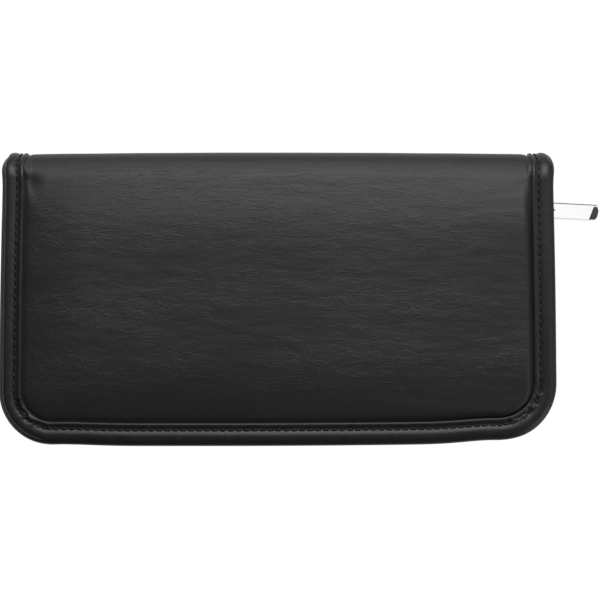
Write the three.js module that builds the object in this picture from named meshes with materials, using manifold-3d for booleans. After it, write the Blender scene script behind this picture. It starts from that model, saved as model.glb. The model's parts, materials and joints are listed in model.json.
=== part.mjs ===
// A zip-around travel wallet in imitation leather, closed and lying on its back cover.
// Millimetres. +X runs along the long side, +Y points to the spine, +Z is up.
// The origin is the centre of the flat underside of the back cover.
import * as THREE from "three";
import { mergeVertices } from "three/addons/utils/BufferGeometryUtils.js";
import Module from "manifold-3d";

const wasm = await Module();
wasm.setup();

// Overall size of the closed wallet, without its zip pull
const LENGTH = 240;
const DEPTH = 126.5;
const THICKNESS = 24;
const CORNER_LEFT = 24;
const CORNER_RIGHT = 26;

// Clearance between pieces that are sewn, glued or laid together
const SEAM_GAP = 0.3;

// Layers of one half, counted from the outside in
const PADDING = 2;
const COVER_SKIN = 0.8;
const BOARD = 1;
const LINING = 0.5;
const TAPE = 0.5;

// Padded cover: how far its rounded rim reaches in from the binding
const PAD_RIM = 7;

// Folded binding strip round each half
const BINDING = 0.9;
const BINDING_WIDTH = 10;
const BINDING_INNER_WIDTH = 9.5;
const BINDING_ROUND = 1.4;

// Zip: two standing tapes, each with a strip of teeth that meet half-way up
const TAPE_STAND_OFF = 0.75;
const TAPE_SHORT = 5.3;
const STRIP_WIDTH = 2.4;
const STRIP_HEIGHT = 1.7;
const STRIP_TO_MIDDLE = 1.4;
const TOOTH_PITCH = 4;
const TOOTH_PLAY = 0.4;
const TOOTH_PAST_MIDDLE = 0.6;
const TOOTH_ROOT = 0.5;
const STOP_LENGTH = 1.5;

// Slider
const SLIDER_LENGTH = 10;
const SLIDER_NOSE_WIDTH = 8.4;
const SLIDER_TAIL_WIDTH = 6.4;
const WING = 1.2;
const WING_ROUND = 1.2;
const POST_LENGTH = 3;
const POST_SETBACK = 0.8;
const CROWN_WIRE = 1;
const CROWN_BAR = 1.2;
const CROWN_SPAN = 6.2;
const CROWN_REACH = 3;

// Pull ring: a long link of bent wire round the crown
const RING_WIRE = 1;
const RING_ROUND = 0.3;
const RING_RADIUS = 1.9;
const RING_INNER_REACH = 1.5;
const RING_OUTER_REACH = 4.6;

// Pull tag
const TAG_LENGTH = 24;
const TAG_WIDTH = 6.9;
const TAG_THICKNESS = 1.5;
const TAG_EDGE = 0.25;
const TAG_EYE_HOLE = 1;
const TAG_EYE_RADIUS = 2.2;
const TAG_SHOULDER = 1.5;
const TAG_SLANT = 4.4;
const TAG_TIP_CORNER = 0.9;
const TAG_CREST = 1.15;
const TAG_EYE_OPEN = 0.6 * Math.PI;
const TAG_OFF_TABLE = 0.4;

// Pockets on the lining
const POCKET_PANEL = 0.7;
const POCKET_MARGIN = 6;
const POCKET_HEM = 3;
const PASSPORT_SLEEVE_WIDTH = 100;
const PASSPORT_SLEEVE_HEIGHT = 68;
const PASSPORT_ROOM = 1.3;
const THUMB_NOTCH = 9;
const CARD_POCKETS = 4;
const CARD_POCKET_WIDTH = 92;
const CARD_POCKET_HEIGHT = 68;
const CARD_POCKET_STEP = 12;
const TICKET_SLEEVE_WIDTH = 200;
const TICKET_SLEEVE_HEIGHT = 84;
const TICKET_ROOM = 1.3;

// Pen loop beside the spine
const PEN_BORE = 9;
const PEN_BAND = 0.8;
const PEN_LOOP_WIDTH = 18;
const PEN_LOOP_FOOT = 7;
const PEN_LOOP_FROM_SPINE = 2;

// Smoothness of curved stretches
const CORNER_STEPS = 6;
const BEND_STEPS = 40;
const RIM_STEPS = 4;
const WELD = 1e-4;
const PAST_SPINE = 20;

// Heights of the layers of the back half, from the table up. The front half is its mirror image.
const MIDDLE = THICKNESS / 2;
const COVER_EDGE_Z = PADDING;
const BOARD_Z = COVER_EDGE_Z + COVER_SKIN + SEAM_GAP;
const LINING_Z = BOARD_Z + BOARD + SEAM_GAP;
const INSIDE_Z = LINING_Z + LINING + SEAM_GAP;
const TAPE_TOP_Z = INSIDE_Z + TAPE;
const SLOT_LOW_Z = COVER_EDGE_Z - SEAM_GAP;
const SLOT_HIGH_Z = TAPE_TOP_Z + SEAM_GAP;
const BINDING_LOW_Z = SLOT_LOW_Z - BINDING;
const BINDING_HIGH_Z = SLOT_HIGH_Z + BINDING;
const STRIP_TOP_Z = MIDDLE - STRIP_TO_MIDDLE;
const STRIP_LOW_Z = STRIP_TOP_Z - STRIP_HEIGHT;

// Distances in from the outer edge
const LAYER_INSET = BINDING + SEAM_GAP;
const PANEL_INSET = BINDING_WIDTH + SEAM_GAP;
const ZIP_INSET = BINDING_INNER_WIDTH + TAPE_STAND_OFF + TAPE / 2;

// Places along Y: the spine bends round a line at half height
const SPINE_Y = DEPTH / 2 - MIDDLE;
const COVER_END_Y = SPINE_Y - SEAM_GAP;
const TAPE_END_Y = COVER_END_Y - TAPE_SHORT;
const STOP_Y = TAPE_END_Y - STOP_LENGTH;
const SLIDER_Y = STOP_Y - SEAM_GAP - SLIDER_LENGTH / 2;
const FIRST_TOOTH_Y = SLIDER_Y - SLIDER_LENGTH / 2 - SEAM_GAP;
const LAST_TOOTH_Y = STOP_Y - SEAM_GAP;
const ZIP_X = LENGTH / 2 - ZIP_INSET;
const POCKET_LOW_Y = -DEPTH / 2 + ZIP_INSET + STRIP_WIDTH / 2 + POCKET_HEM;

// Finishes of the pieces
const FINISHES = {
  grained: { color: 0x2b2c2c, roughness: 0.45, metalness: 0 },
  binding: { color: 0x232424, roughness: 0.4, metalness: 0 },
  board: { color: 0x8a7a62, roughness: 0.9, metalness: 0 },
  lining: { color: 0x1d1e20, roughness: 0.85, metalness: 0 },
  tape: { color: 0x161617, roughness: 0.9, metalness: 0 },
  teeth: { color: 0x1b1b1c, roughness: 0.5, metalness: 0 },
  metal: { color: 0xd9dadb, roughness: 0.15, metalness: 1 },
};

// Solids and geometries

/** A closed solid from a three.js geometry. */
function solidOf(geometry) {
  const bare = geometry.clone();
  bare.deleteAttribute("normal");
  bare.deleteAttribute("uv");
  const merged = mergeVertices(bare, WELD);
  return new wasm.Manifold(
    new wasm.Mesh({
      numProp: 3,
      vertProperties: merged.getAttribute("position").array,
      triVerts: new Uint32Array(merged.index.array),
    }),
  );
}

/** A three.js geometry with flat faces from a solid. */
function geometryOf(solid) {
  const { vertProperties, triVerts } = solid.getMesh();
  const shared = new THREE.BufferGeometry();
  shared.setAttribute("position", new THREE.BufferAttribute(vertProperties, 3));
  shared.setIndex(new THREE.BufferAttribute(triVerts, 1));
  const flat = shared.toNonIndexed();
  flat.computeVertexNormals();
  return flat;
}

/** A named mesh with a finish of its own. */
function piece(name, solid, finish) {
  const mesh = new THREE.Mesh(geometryOf(solid), new THREE.MeshStandardMaterial(FINISHES[finish]));
  mesh.name = name;
  return mesh;
}

/** A box between two corners. */
function block([x0, y0, z0], [x1, y1, z1]) {
  const box = new THREE.BoxGeometry(x1 - x0, y1 - y0, z1 - z0);
  return solidOf(box.translate((x0 + x1) / 2, (y0 + y1) / 2, (z0 + z1) / 2));
}

/** A flat shape made thick, from one height to another. */
function plate(shape, low, high) {
  const depth = high - low;
  const geometry = new THREE.ExtrudeGeometry(shape, {
    depth,
    bevelEnabled: false,
    curveSegments: CORNER_STEPS,
  });
  return solidOf(geometry.translate(0, 0, low));
}

/** The same with its edges rounded over by `width` sideways and `rise` in height. */
function roundedPlate(shape, low, high, width, rise) {
  const geometry = new THREE.ExtrudeGeometry(shape, {
    depth: high - low - 2 * rise,
    bevelThickness: rise,
    bevelSize: width,
    bevelOffset: -width,
    bevelSegments: RIM_STEPS,
    curveSegments: CORNER_STEPS,
  });
  return solidOf(geometry.translate(0, 0, low + rise));
}

// Plan shapes

/** The run of the wallet's free edges, drawn in by `inset`, between two heights along Y. */
function edgePath(path, inset, rightY, leftY) {
  const left = -LENGTH / 2 + inset;
  const right = LENGTH / 2 - inset;
  const bottom = -DEPTH / 2 + inset;
  const rightRadius = CORNER_RIGHT - inset;
  const leftRadius = CORNER_LEFT - inset;
  path.moveTo(right, rightY);
  path.lineTo(right, bottom + rightRadius);
  path.absarc(right - rightRadius, bottom + rightRadius, rightRadius, 0, -Math.PI / 2, true);
  path.lineTo(left + leftRadius, bottom);
  path.absarc(left + leftRadius, bottom + leftRadius, leftRadius, -Math.PI / 2, -Math.PI, true);
  path.lineTo(left, leftY);
  return path;
}

/** The wallet's outline drawn in by `inset`. It runs on past the spine, for a later cut. */
function planShape(inset) {
  const end = DEPTH / 2 + PAST_SPINE;
  return edgePath(new THREE.Shape(), inset, end, end);
}

/** A layer of the wallet's outline, drawn in by `inset`, between two heights. */
function layer(inset, low, high) {
  return plate(planShape(inset), low, high);
}

/** What lies on the free side of a line along X at `y`. */
function upTo(solid, y) {
  const reach = LENGTH + DEPTH;
  return solid.intersect(block([-reach, -reach, -reach], [reach, y, reach]));
}

// One half: cover, board, lining, binding and zip tape

/** Padded cover with a thin edge that the binding takes in. */
function coverSolid() {
  const edge = layer(LAYER_INSET, COVER_EDGE_Z, COVER_EDGE_Z + COVER_SKIN);
  const pad = roundedPlate(planShape(PANEL_INSET), 0, 2 * PADDING + COVER_SKIN, PAD_RIM, PADDING);
  const inner = layer(0, COVER_EDGE_Z + COVER_SKIN, THICKNESS);
  return upTo(pad.subtract(inner).add(edge), COVER_END_Y);
}

/** Stiff sheet between cover and lining. */
function boardSolid() {
  return upTo(layer(LAYER_INSET, BOARD_Z, BOARD_Z + BOARD), COVER_END_Y);
}

/** Lining cloth. */
function liningSolid() {
  return upTo(layer(LAYER_INSET, LINING_Z, LINING_Z + LINING), COVER_END_Y);
}

/** Strip folded round the edges of all the layers. */
function bindingSolid() {
  const height = BINDING_HIGH_Z - BINDING_LOW_Z;
  const whole = roundedPlate(planShape(0), BINDING_LOW_Z, BINDING_HIGH_Z, BINDING_ROUND, BINDING_ROUND);
  const slot = layer(BINDING, SLOT_LOW_Z, SLOT_HIGH_Z);
  const outerLegEnd = layer(BINDING_WIDTH, BINDING_LOW_Z - height, SLOT_LOW_Z + SEAM_GAP);
  const innerLegEnd = layer(BINDING_INNER_WIDTH, SLOT_HIGH_Z - SEAM_GAP, BINDING_HIGH_Z + height);
  return upTo(whole.subtract(slot).subtract(outerLegEnd).subtract(innerLegEnd), COVER_END_Y);
}

/** Zip tape: a flat edge sewn into the binding, and a wall that stands up from it. */
function tapeSolid() {
  const wallTop = STRIP_LOW_Z - SEAM_GAP;
  const flat = layer(LAYER_INSET, INSIDE_Z, TAPE_TOP_Z);
  const wall = layer(ZIP_INSET - TAPE / 2, INSIDE_Z, wallTop);
  const inside = layer(ZIP_INSET + TAPE / 2, 0, THICKNESS);
  return upTo(flat.add(wall).subtract(inside), TAPE_END_Y);
}

/** One tooth, upright on the strip at a point of the zip's run. */
function toothSolid(point, tangent) {
  const width = TOOTH_PITCH / 2 - TOOTH_PLAY;
  const low = STRIP_TOP_Z - TOOTH_ROOT;
  const high = MIDDLE + TOOTH_PAST_MIDDLE;
  const box = new THREE.BoxGeometry(width, STRIP_WIDTH, high - low);
  box.rotateZ(Math.atan2(tangent.y, tangent.x));
  return solidOf(box.translate(point.x, point.y, (low + high) / 2));
}

/** Strip of teeth along the tape's free edge. `start` is where its first tooth stands. */
function teethSolid(start) {
  const outer = layer(ZIP_INSET - STRIP_WIDTH / 2, STRIP_LOW_Z, STRIP_TOP_Z);
  const inner = layer(ZIP_INSET + STRIP_WIDTH / 2, 0, THICKNESS);
  let strip = upTo(outer.subtract(inner), TAPE_END_Y);
  const run = edgePath(new THREE.Path(), ZIP_INSET, FIRST_TOOTH_Y, LAST_TOOTH_Y);
  const total = run.getLength();
  for (let along = start; along < total - TOOTH_PITCH / 2; along += TOOTH_PITCH) {
    strip = strip.add(toothSolid(run.getPoint(along / total), run.getTangent(along / total)));
  }
  return strip;
}

/** Small clamp that ends a row of teeth, in the room between two heights. */
function stopSolid(x, low, high) {
  return block([x - STRIP_WIDTH / 2, STOP_Y, low], [x + STRIP_WIDTH / 2, TAPE_END_Y, high]);
}

/** The five sewn layers and the teeth of one half, in a group. */
function halfGroup(side, firstTooth) {
  const half = new THREE.Group();
  half.add(piece(`${side}_cover`, coverSolid(), "grained"));
  half.add(piece(`${side}_board`, boardSolid(), "board"));
  half.add(piece(`${side}_lining`, liningSolid(), "lining"));
  half.add(piece(`${side}_binding`, bindingSolid(), "binding"));
  half.add(piece(`${side}_zip_tape`, tapeSolid(), "tape"));
  half.add(piece(`${side}_zip_teeth`, teethSolid(firstTooth), "teeth"));
  const low = STRIP_TOP_Z + SEAM_GAP;
  half.add(piece(`zip_stop_left_${side}`, stopSolid(-ZIP_X, low, MIDDLE - SEAM_GAP / 2), "metal"));
  return half;
}

// Spine: layers bent round a line along X

/** The half of a ring about the X axis that bulges towards +Y, from its closed profile. */
function bentSolid(profile) {
  const reach = LENGTH;
  const ring = new THREE.LatheGeometry([...profile, profile[0]].reverse(), BEND_STEPS);
  ring.rotateZ(-Math.PI / 2);
  return solidOf(ring).intersect(block([-reach, 0, -reach], [reach, reach, reach]));
}

/** A profile point: so far out from the bend's axis, and so far along X. */
function out(radius, x) {
  return new THREE.Vector2(radius, x);
}

/** A profile's rounded shoulder, a quarter of an ellipse, from its outer end to its top. */
function shoulder(radius, x, width, rise) {
  const points = [];
  for (let step = 0; step <= RIM_STEPS; step += 1) {
    const turn = ((step / RIM_STEPS) * Math.PI) / 2;
    points.push(out(radius - rise + rise * Math.sin(turn), x - width + width * Math.cos(turn)));
  }
  return points;
}

/** The same shoulder at the other end of the X axis, walked from its top to its outer end. */
function mirrored(points) {
  return points.map((point) => out(point.x, -point.y)).reverse();
}

/** Padded cover over the spine. */
function spineCoverSolid() {
  const inner = MIDDLE - COVER_EDGE_Z - COVER_SKIN;
  const edge = MIDDLE - COVER_EDGE_Z;
  const end = LENGTH / 2 - LAYER_INSET;
  const rim = shoulder(MIDDLE, LENGTH / 2 - PANEL_INSET, PAD_RIM, PADDING);
  const right = [out(inner, end), out(edge, end), ...rim];
  return bentSolid([...right, ...mirrored(right)]);
}

/** Lining inside the spine. */
function spineLiningSolid() {
  const inner = MIDDLE - LINING_Z - LINING;
  const end = LENGTH / 2 - LAYER_INSET;
  const right = [out(inner, end), out(inner + LINING, end)];
  return bentSolid([...right, ...mirrored(right)]);
}

/** Binding over one end of the spine, drawn for the right-hand end. */
function spineBindingSolid() {
  const top = MIDDLE - BINDING_LOW_Z;
  const bottom = MIDDLE - BINDING_HIGH_Z;
  const slotTop = MIDDLE - SLOT_LOW_Z;
  const slotBottom = MIDDLE - SLOT_HIGH_Z;
  const end = LENGTH / 2;
  const round = shoulder(top, end, BINDING_ROUND, BINDING_ROUND);
  return bentSolid([
    out(bottom, end - BINDING_INNER_WIDTH),
    out(bottom, end),
    ...round,
    out(top, end - BINDING_WIDTH),
    out(slotTop, end - BINDING_WIDTH),
    out(slotTop, end - BINDING),
    out(slotBottom, end - BINDING),
    out(slotBottom, end - BINDING_INNER_WIDTH),
  ]);
}

/** The four pieces of the spine, in a group at the bend's axis. */
function spineGroup() {
  const spine = new THREE.Group();
  spine.position.set(0, SPINE_Y, MIDDLE);
  spine.add(piece("spine_cover", spineCoverSolid(), "grained"));
  spine.add(piece("spine_lining", spineLiningSolid(), "lining"));
  spine.add(piece("spine_binding_right", spineBindingSolid(), "binding"));
  const left = piece("spine_binding_left", spineBindingSolid(), "binding");
  left.scale.x = -1;
  spine.add(left);
  return spine;
}

// Pockets and pen loop, standing on the lining

/** A pocket panel's outline, with a half-round thumb notch in its open edge if it has one. */
function panelShape(width, height, notch) {
  const shape = new THREE.Shape();
  shape.moveTo(-width / 2, 0);
  shape.lineTo(width / 2, 0);
  shape.lineTo(width / 2, height);
  if (notch > 0) {
    shape.lineTo(notch, height);
    shape.absarc(0, height, notch, 0, -Math.PI, true);
  }
  shape.lineTo(-width / 2, height);
  return shape;
}

/** A flat sleeve: a panel on a three-sided seam, open along its upper edge. */
function sleeveSolid(width, height, room, notch) {
  const whole = plate(panelShape(width, height, notch), 0, room + POCKET_PANEL);
  const inside = block(
    [-width / 2 + POCKET_HEM, POCKET_HEM, -room],
    [width / 2 - POCKET_HEM, height + POCKET_HEM, room],
  );
  return whole.subtract(inside);
}

/** Sleeve for a passport, in the left half of the back cover's inside. */
function passportSleeve() {
  const solid = sleeveSolid(PASSPORT_SLEEVE_WIDTH, PASSPORT_SLEEVE_HEIGHT, PASSPORT_ROOM, THUMB_NOTCH);
  const sleeve = piece("passport_pocket", solid, "lining");
  sleeve.position.set(-(PASSPORT_SLEEVE_WIDTH + POCKET_MARGIN) / 2, POCKET_LOW_Y, INSIDE_Z);
  return sleeve;
}

/** Stepped card pockets, each a step lower and a layer higher than the one behind it. */
function cardPockets() {
  const pockets = new THREE.Group();
  pockets.position.set((CARD_POCKET_WIDTH + POCKET_MARGIN) / 2, POCKET_LOW_Y, INSIDE_Z);
  for (let order = 0; order < CARD_POCKETS; order += 1) {
    const height = CARD_POCKET_HEIGHT - order * CARD_POCKET_STEP;
    const panel = plate(panelShape(CARD_POCKET_WIDTH, height, 0), 0, POCKET_PANEL);
    const pocket = piece(`card_pocket_${order + 1}`, panel, "grained");
    pocket.position.z = order * (POCKET_PANEL + SEAM_GAP);
    pockets.add(pocket);
  }
  return pockets;
}

/** Long sleeve for tickets, inside the front cover. */
function ticketSleeve() {
  const solid = sleeveSolid(TICKET_SLEEVE_WIDTH, TICKET_SLEEVE_HEIGHT, TICKET_ROOM, 0);
  const sleeve = piece("ticket_pocket", solid, "lining");
  sleeve.position.set(0, POCKET_LOW_Y, INSIDE_Z);
  return sleeve;
}

/** Loop for a pen, a round band on a flat foot, with its bore along X. */
function penLoop() {
  const bore = PEN_BORE / 2;
  const outer = bore + PEN_BAND;
  const band = new THREE.Shape();
  band.absarc(0, 0, outer, 0, 2 * Math.PI, false);
  const hole = new THREE.Path();
  hole.absarc(0, 0, bore, 0, 2 * Math.PI, true);
  band.holes.push(hole);
  const foot = block([-PEN_LOOP_FOOT, -outer, 0], [0, PEN_BAND - outer, PEN_LOOP_WIDTH]);
  const loop = piece("pen_loop", plate(band, 0, PEN_LOOP_WIDTH).add(foot), "grained");
  loop.rotation.set(Math.PI / 2, Math.PI / 2, 0);
  loop.position.set(-PEN_LOOP_WIDTH / 2, COVER_END_Y - PEN_LOOP_FROM_SPINE - outer, INSIDE_Z + outer);
  return loop;
}

// Slider, pull ring and pull tag. Their axes: X away from the wallet, Y along the zip, Z up.

/** Outline of a slider's wing along the zip: wide at the nose, narrower at the tail. */
function wingShape() {
  const nose = -SLIDER_LENGTH / 2;
  const tail = SLIDER_LENGTH / 2;
  const wide = SLIDER_NOSE_WIDTH / 2;
  const narrow = SLIDER_TAIL_WIDTH / 2;
  const shape = new THREE.Shape();
  shape.moveTo(nose, wide - WING_ROUND);
  shape.lineTo(nose, WING_ROUND - wide);
  shape.quadraticCurveTo(nose, -wide, nose + WING_ROUND, -wide);
  shape.lineTo(0, -wide);
  shape.quadraticCurveTo(tail / 2, -wide, tail, -narrow);
  shape.lineTo(tail, narrow);
  shape.quadraticCurveTo(tail / 2, wide, 0, wide);
  shape.lineTo(nose + WING_ROUND, wide);
  shape.quadraticCurveTo(nose, wide, nose, wide - WING_ROUND);
  return shape;
}

/** A wing as a solid, standing upright from `near` outwards. */
function wingSolid(near) {
  const wing = new THREE.ExtrudeGeometry(wingShape(), {
    depth: WING,
    bevelEnabled: false,
    curveSegments: RIM_STEPS,
  });
  const upright = new THREE.Matrix4().makeBasis(
    new THREE.Vector3(0, 1, 0),
    new THREE.Vector3(0, 0, 1),
    new THREE.Vector3(1, 0, 0),
  );
  return solidOf(wing.applyMatrix4(upright).translate(near, 0, 0));
}

/** Arch over the outer wing that the pull ring hangs on. */
function crownSolid(foot) {
  const half = CROWN_SPAN / 2;
  const top = foot + CROWN_REACH - CROWN_WIRE / 2;
  const arch = new THREE.Shape();
  arch.moveTo(foot - WING / 2, -half);
  arch.lineTo(top, -half);
  arch.quadraticCurveTo(top + CROWN_WIRE, -half, top + CROWN_WIRE, CROWN_WIRE - half);
  arch.lineTo(top + CROWN_WIRE, half - CROWN_WIRE);
  arch.quadraticCurveTo(top + CROWN_WIRE, half, top, half);
  arch.lineTo(foot - WING / 2, half);
  const opening = block([foot, CROWN_WIRE - half, -CROWN_BAR], [top, half - CROWN_WIRE, CROWN_BAR]);
  return plate(arch, -CROWN_BAR / 2, CROWN_BAR / 2).subtract(opening);
}

/** Slider body: two wings on either side of the teeth, the post between them, and the crown. */
function sliderSolid() {
  const channel = STRIP_WIDTH / 2 + SEAM_GAP;
  const postHalf = STRIP_TO_MIDDLE - SEAM_GAP;
  const nose = -SLIDER_LENGTH / 2 + POST_SETBACK;
  const root = channel + WING / 2;
  const post = block([-root, nose, -postHalf], [root, nose + POST_LENGTH, postHalf]);
  const wings = wingSolid(channel).add(wingSolid(-channel - WING));
  return wings.add(post).add(crownSolid(channel + WING));
}

/** A long round-ended outline round the two bends of the pull ring. */
function linkShape(radius) {
  const near = RING_RADIUS - RING_INNER_REACH;
  const far = RING_OUTER_REACH - RING_RADIUS;
  const shape = new THREE.Shape();
  shape.absarc(far, 0, radius, -Math.PI / 2, Math.PI / 2, false);
  shape.absarc(near, 0, radius, Math.PI / 2, (3 * Math.PI) / 2, false);
  return shape;
}

/** Pull ring, lying flat, with the crown's bar at its origin. */
function ringSolid() {
  const shape = linkShape(RING_RADIUS + RING_WIRE / 2);
  shape.holes.push(linkShape(RING_RADIUS - RING_WIRE / 2));
  return roundedPlate(shape, -RING_WIRE / 2, RING_WIRE / 2, RING_ROUND, RING_ROUND);
}

/** Outline of the pull tag, with its eye at the origin and its slanted tip along X. */
function tagShape() {
  const half = TAG_WIDTH / 2;
  const shape = new THREE.Shape();
  shape.moveTo(TAG_SHOULDER, -half);
  shape.lineTo(TAG_LENGTH - TAG_SLANT, -half);
  shape.quadraticCurveTo(TAG_LENGTH, -half / 2, TAG_LENGTH, TAG_CREST);
  shape.quadraticCurveTo(TAG_LENGTH, half, TAG_LENGTH - TAG_TIP_CORNER, half);
  shape.lineTo(TAG_SHOULDER, half);
  shape.absarc(0, 0, TAG_EYE_RADIUS, TAG_EYE_OPEN, 2 * Math.PI - TAG_EYE_OPEN, false);
  const hole = new THREE.Path();
  hole.absarc(0, 0, TAG_EYE_HOLE, 0, 2 * Math.PI, true);
  shape.holes.push(hole);
  return shape;
}

/** Pull tag, a flat plate. */
function tagSolid() {
  return roundedPlate(tagShape(), -TAG_THICKNESS / 2, TAG_THICKNESS / 2, TAG_EDGE, TAG_EDGE);
}

/** Slider, pull ring and pull tag, in nested groups that turn as the real ones do. */
function sliderGroup() {
  const slider = new THREE.Group();
  slider.position.set(ZIP_X, SLIDER_Y, MIDDLE);
  slider.add(piece("slider_body", sliderSolid(), "metal"));
  const hang = new THREE.Group();
  const drop = MIDDLE - TAG_OFF_TABLE - TAG_THICKNESS / 2;
  hang.position.x = STRIP_WIDTH / 2 + SEAM_GAP + WING + CROWN_REACH;
  hang.rotation.y = Math.asin(drop / (RING_OUTER_REACH + TAG_LENGTH));
  slider.add(hang);
  const ring = piece("pull_ring", ringSolid(), "metal");
  ring.rotation.x = Math.PI / 2;
  hang.add(ring);
  const tag = piece("pull_tag", tagSolid(), "metal");
  tag.position.x = RING_OUTER_REACH;
  hang.add(tag);
  return slider;
}

// The whole wallet

/** Both halves, the spine, what is inside, and the slider. */
function walletGroup() {
  const wallet = new THREE.Group();
  const back = halfGroup("back", TOOTH_PITCH / 2);
  back.add(passportSleeve(), cardPockets(), penLoop());
  const front = halfGroup("front", TOOTH_PITCH);
  front.add(ticketSleeve());
  front.scale.z = -1;
  front.position.z = THICKNESS;
  const stopLow = STRIP_TOP_Z + SEAM_GAP;
  const stop = piece("zip_stop_right", stopSolid(ZIP_X, stopLow, THICKNESS - stopLow), "metal");
  wallet.add(back, front, spineGroup(), stop, sliderGroup());
  return wallet;
}

export default walletGroup();
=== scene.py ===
"""Looks of a zip-around travel wallet in black imitation leather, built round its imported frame."""

from __future__ import annotations

import json
import logging
import math
from dataclasses import dataclass, field, replace
from enum import Enum

import bmesh
import bpy
import numpy as np
from mathutils import Matrix, Vector, noise


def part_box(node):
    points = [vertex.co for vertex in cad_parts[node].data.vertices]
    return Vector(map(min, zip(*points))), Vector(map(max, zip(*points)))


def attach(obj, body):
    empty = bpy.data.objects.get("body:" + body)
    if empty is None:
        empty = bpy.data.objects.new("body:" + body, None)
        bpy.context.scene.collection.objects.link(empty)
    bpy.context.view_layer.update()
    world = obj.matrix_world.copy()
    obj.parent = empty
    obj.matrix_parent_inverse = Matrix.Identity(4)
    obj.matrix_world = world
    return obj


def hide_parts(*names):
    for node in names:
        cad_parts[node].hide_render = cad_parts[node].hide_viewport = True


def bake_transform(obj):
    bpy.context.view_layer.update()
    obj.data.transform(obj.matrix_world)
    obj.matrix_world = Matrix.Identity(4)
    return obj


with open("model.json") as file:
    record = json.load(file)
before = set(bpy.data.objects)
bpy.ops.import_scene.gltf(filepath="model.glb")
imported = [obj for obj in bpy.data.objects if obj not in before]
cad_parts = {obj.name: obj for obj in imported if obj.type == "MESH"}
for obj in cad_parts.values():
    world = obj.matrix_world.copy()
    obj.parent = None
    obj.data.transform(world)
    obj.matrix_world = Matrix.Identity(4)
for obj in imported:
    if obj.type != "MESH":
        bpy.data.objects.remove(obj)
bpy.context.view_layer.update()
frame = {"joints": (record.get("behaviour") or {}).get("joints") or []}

log = logging.getLogger("travel_wallet")
MM = 0.001
Color = tuple[float, float, float]
Place = tuple[float, float, float]
Corner = tuple[float, float, float]
Span = tuple[float, float]
Array = np.ndarray
Material = bpy.types.Material
Piece = bpy.types.Object


# Finishes


class Slot(Enum):
    """Material slots of the record, which the pieces pass to settle; nothing reads them."""

    COVER = "cover_leatherette"
    BINDING = "binding_leatherette"
    POCKET = "pocket_leatherette"
    LINING = "lining_fabric"
    BOARD = "stiffener_board"
    TAPE = "zip_tape"
    TEETH = "zip_teeth"
    METAL = "zip_metal"


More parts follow.
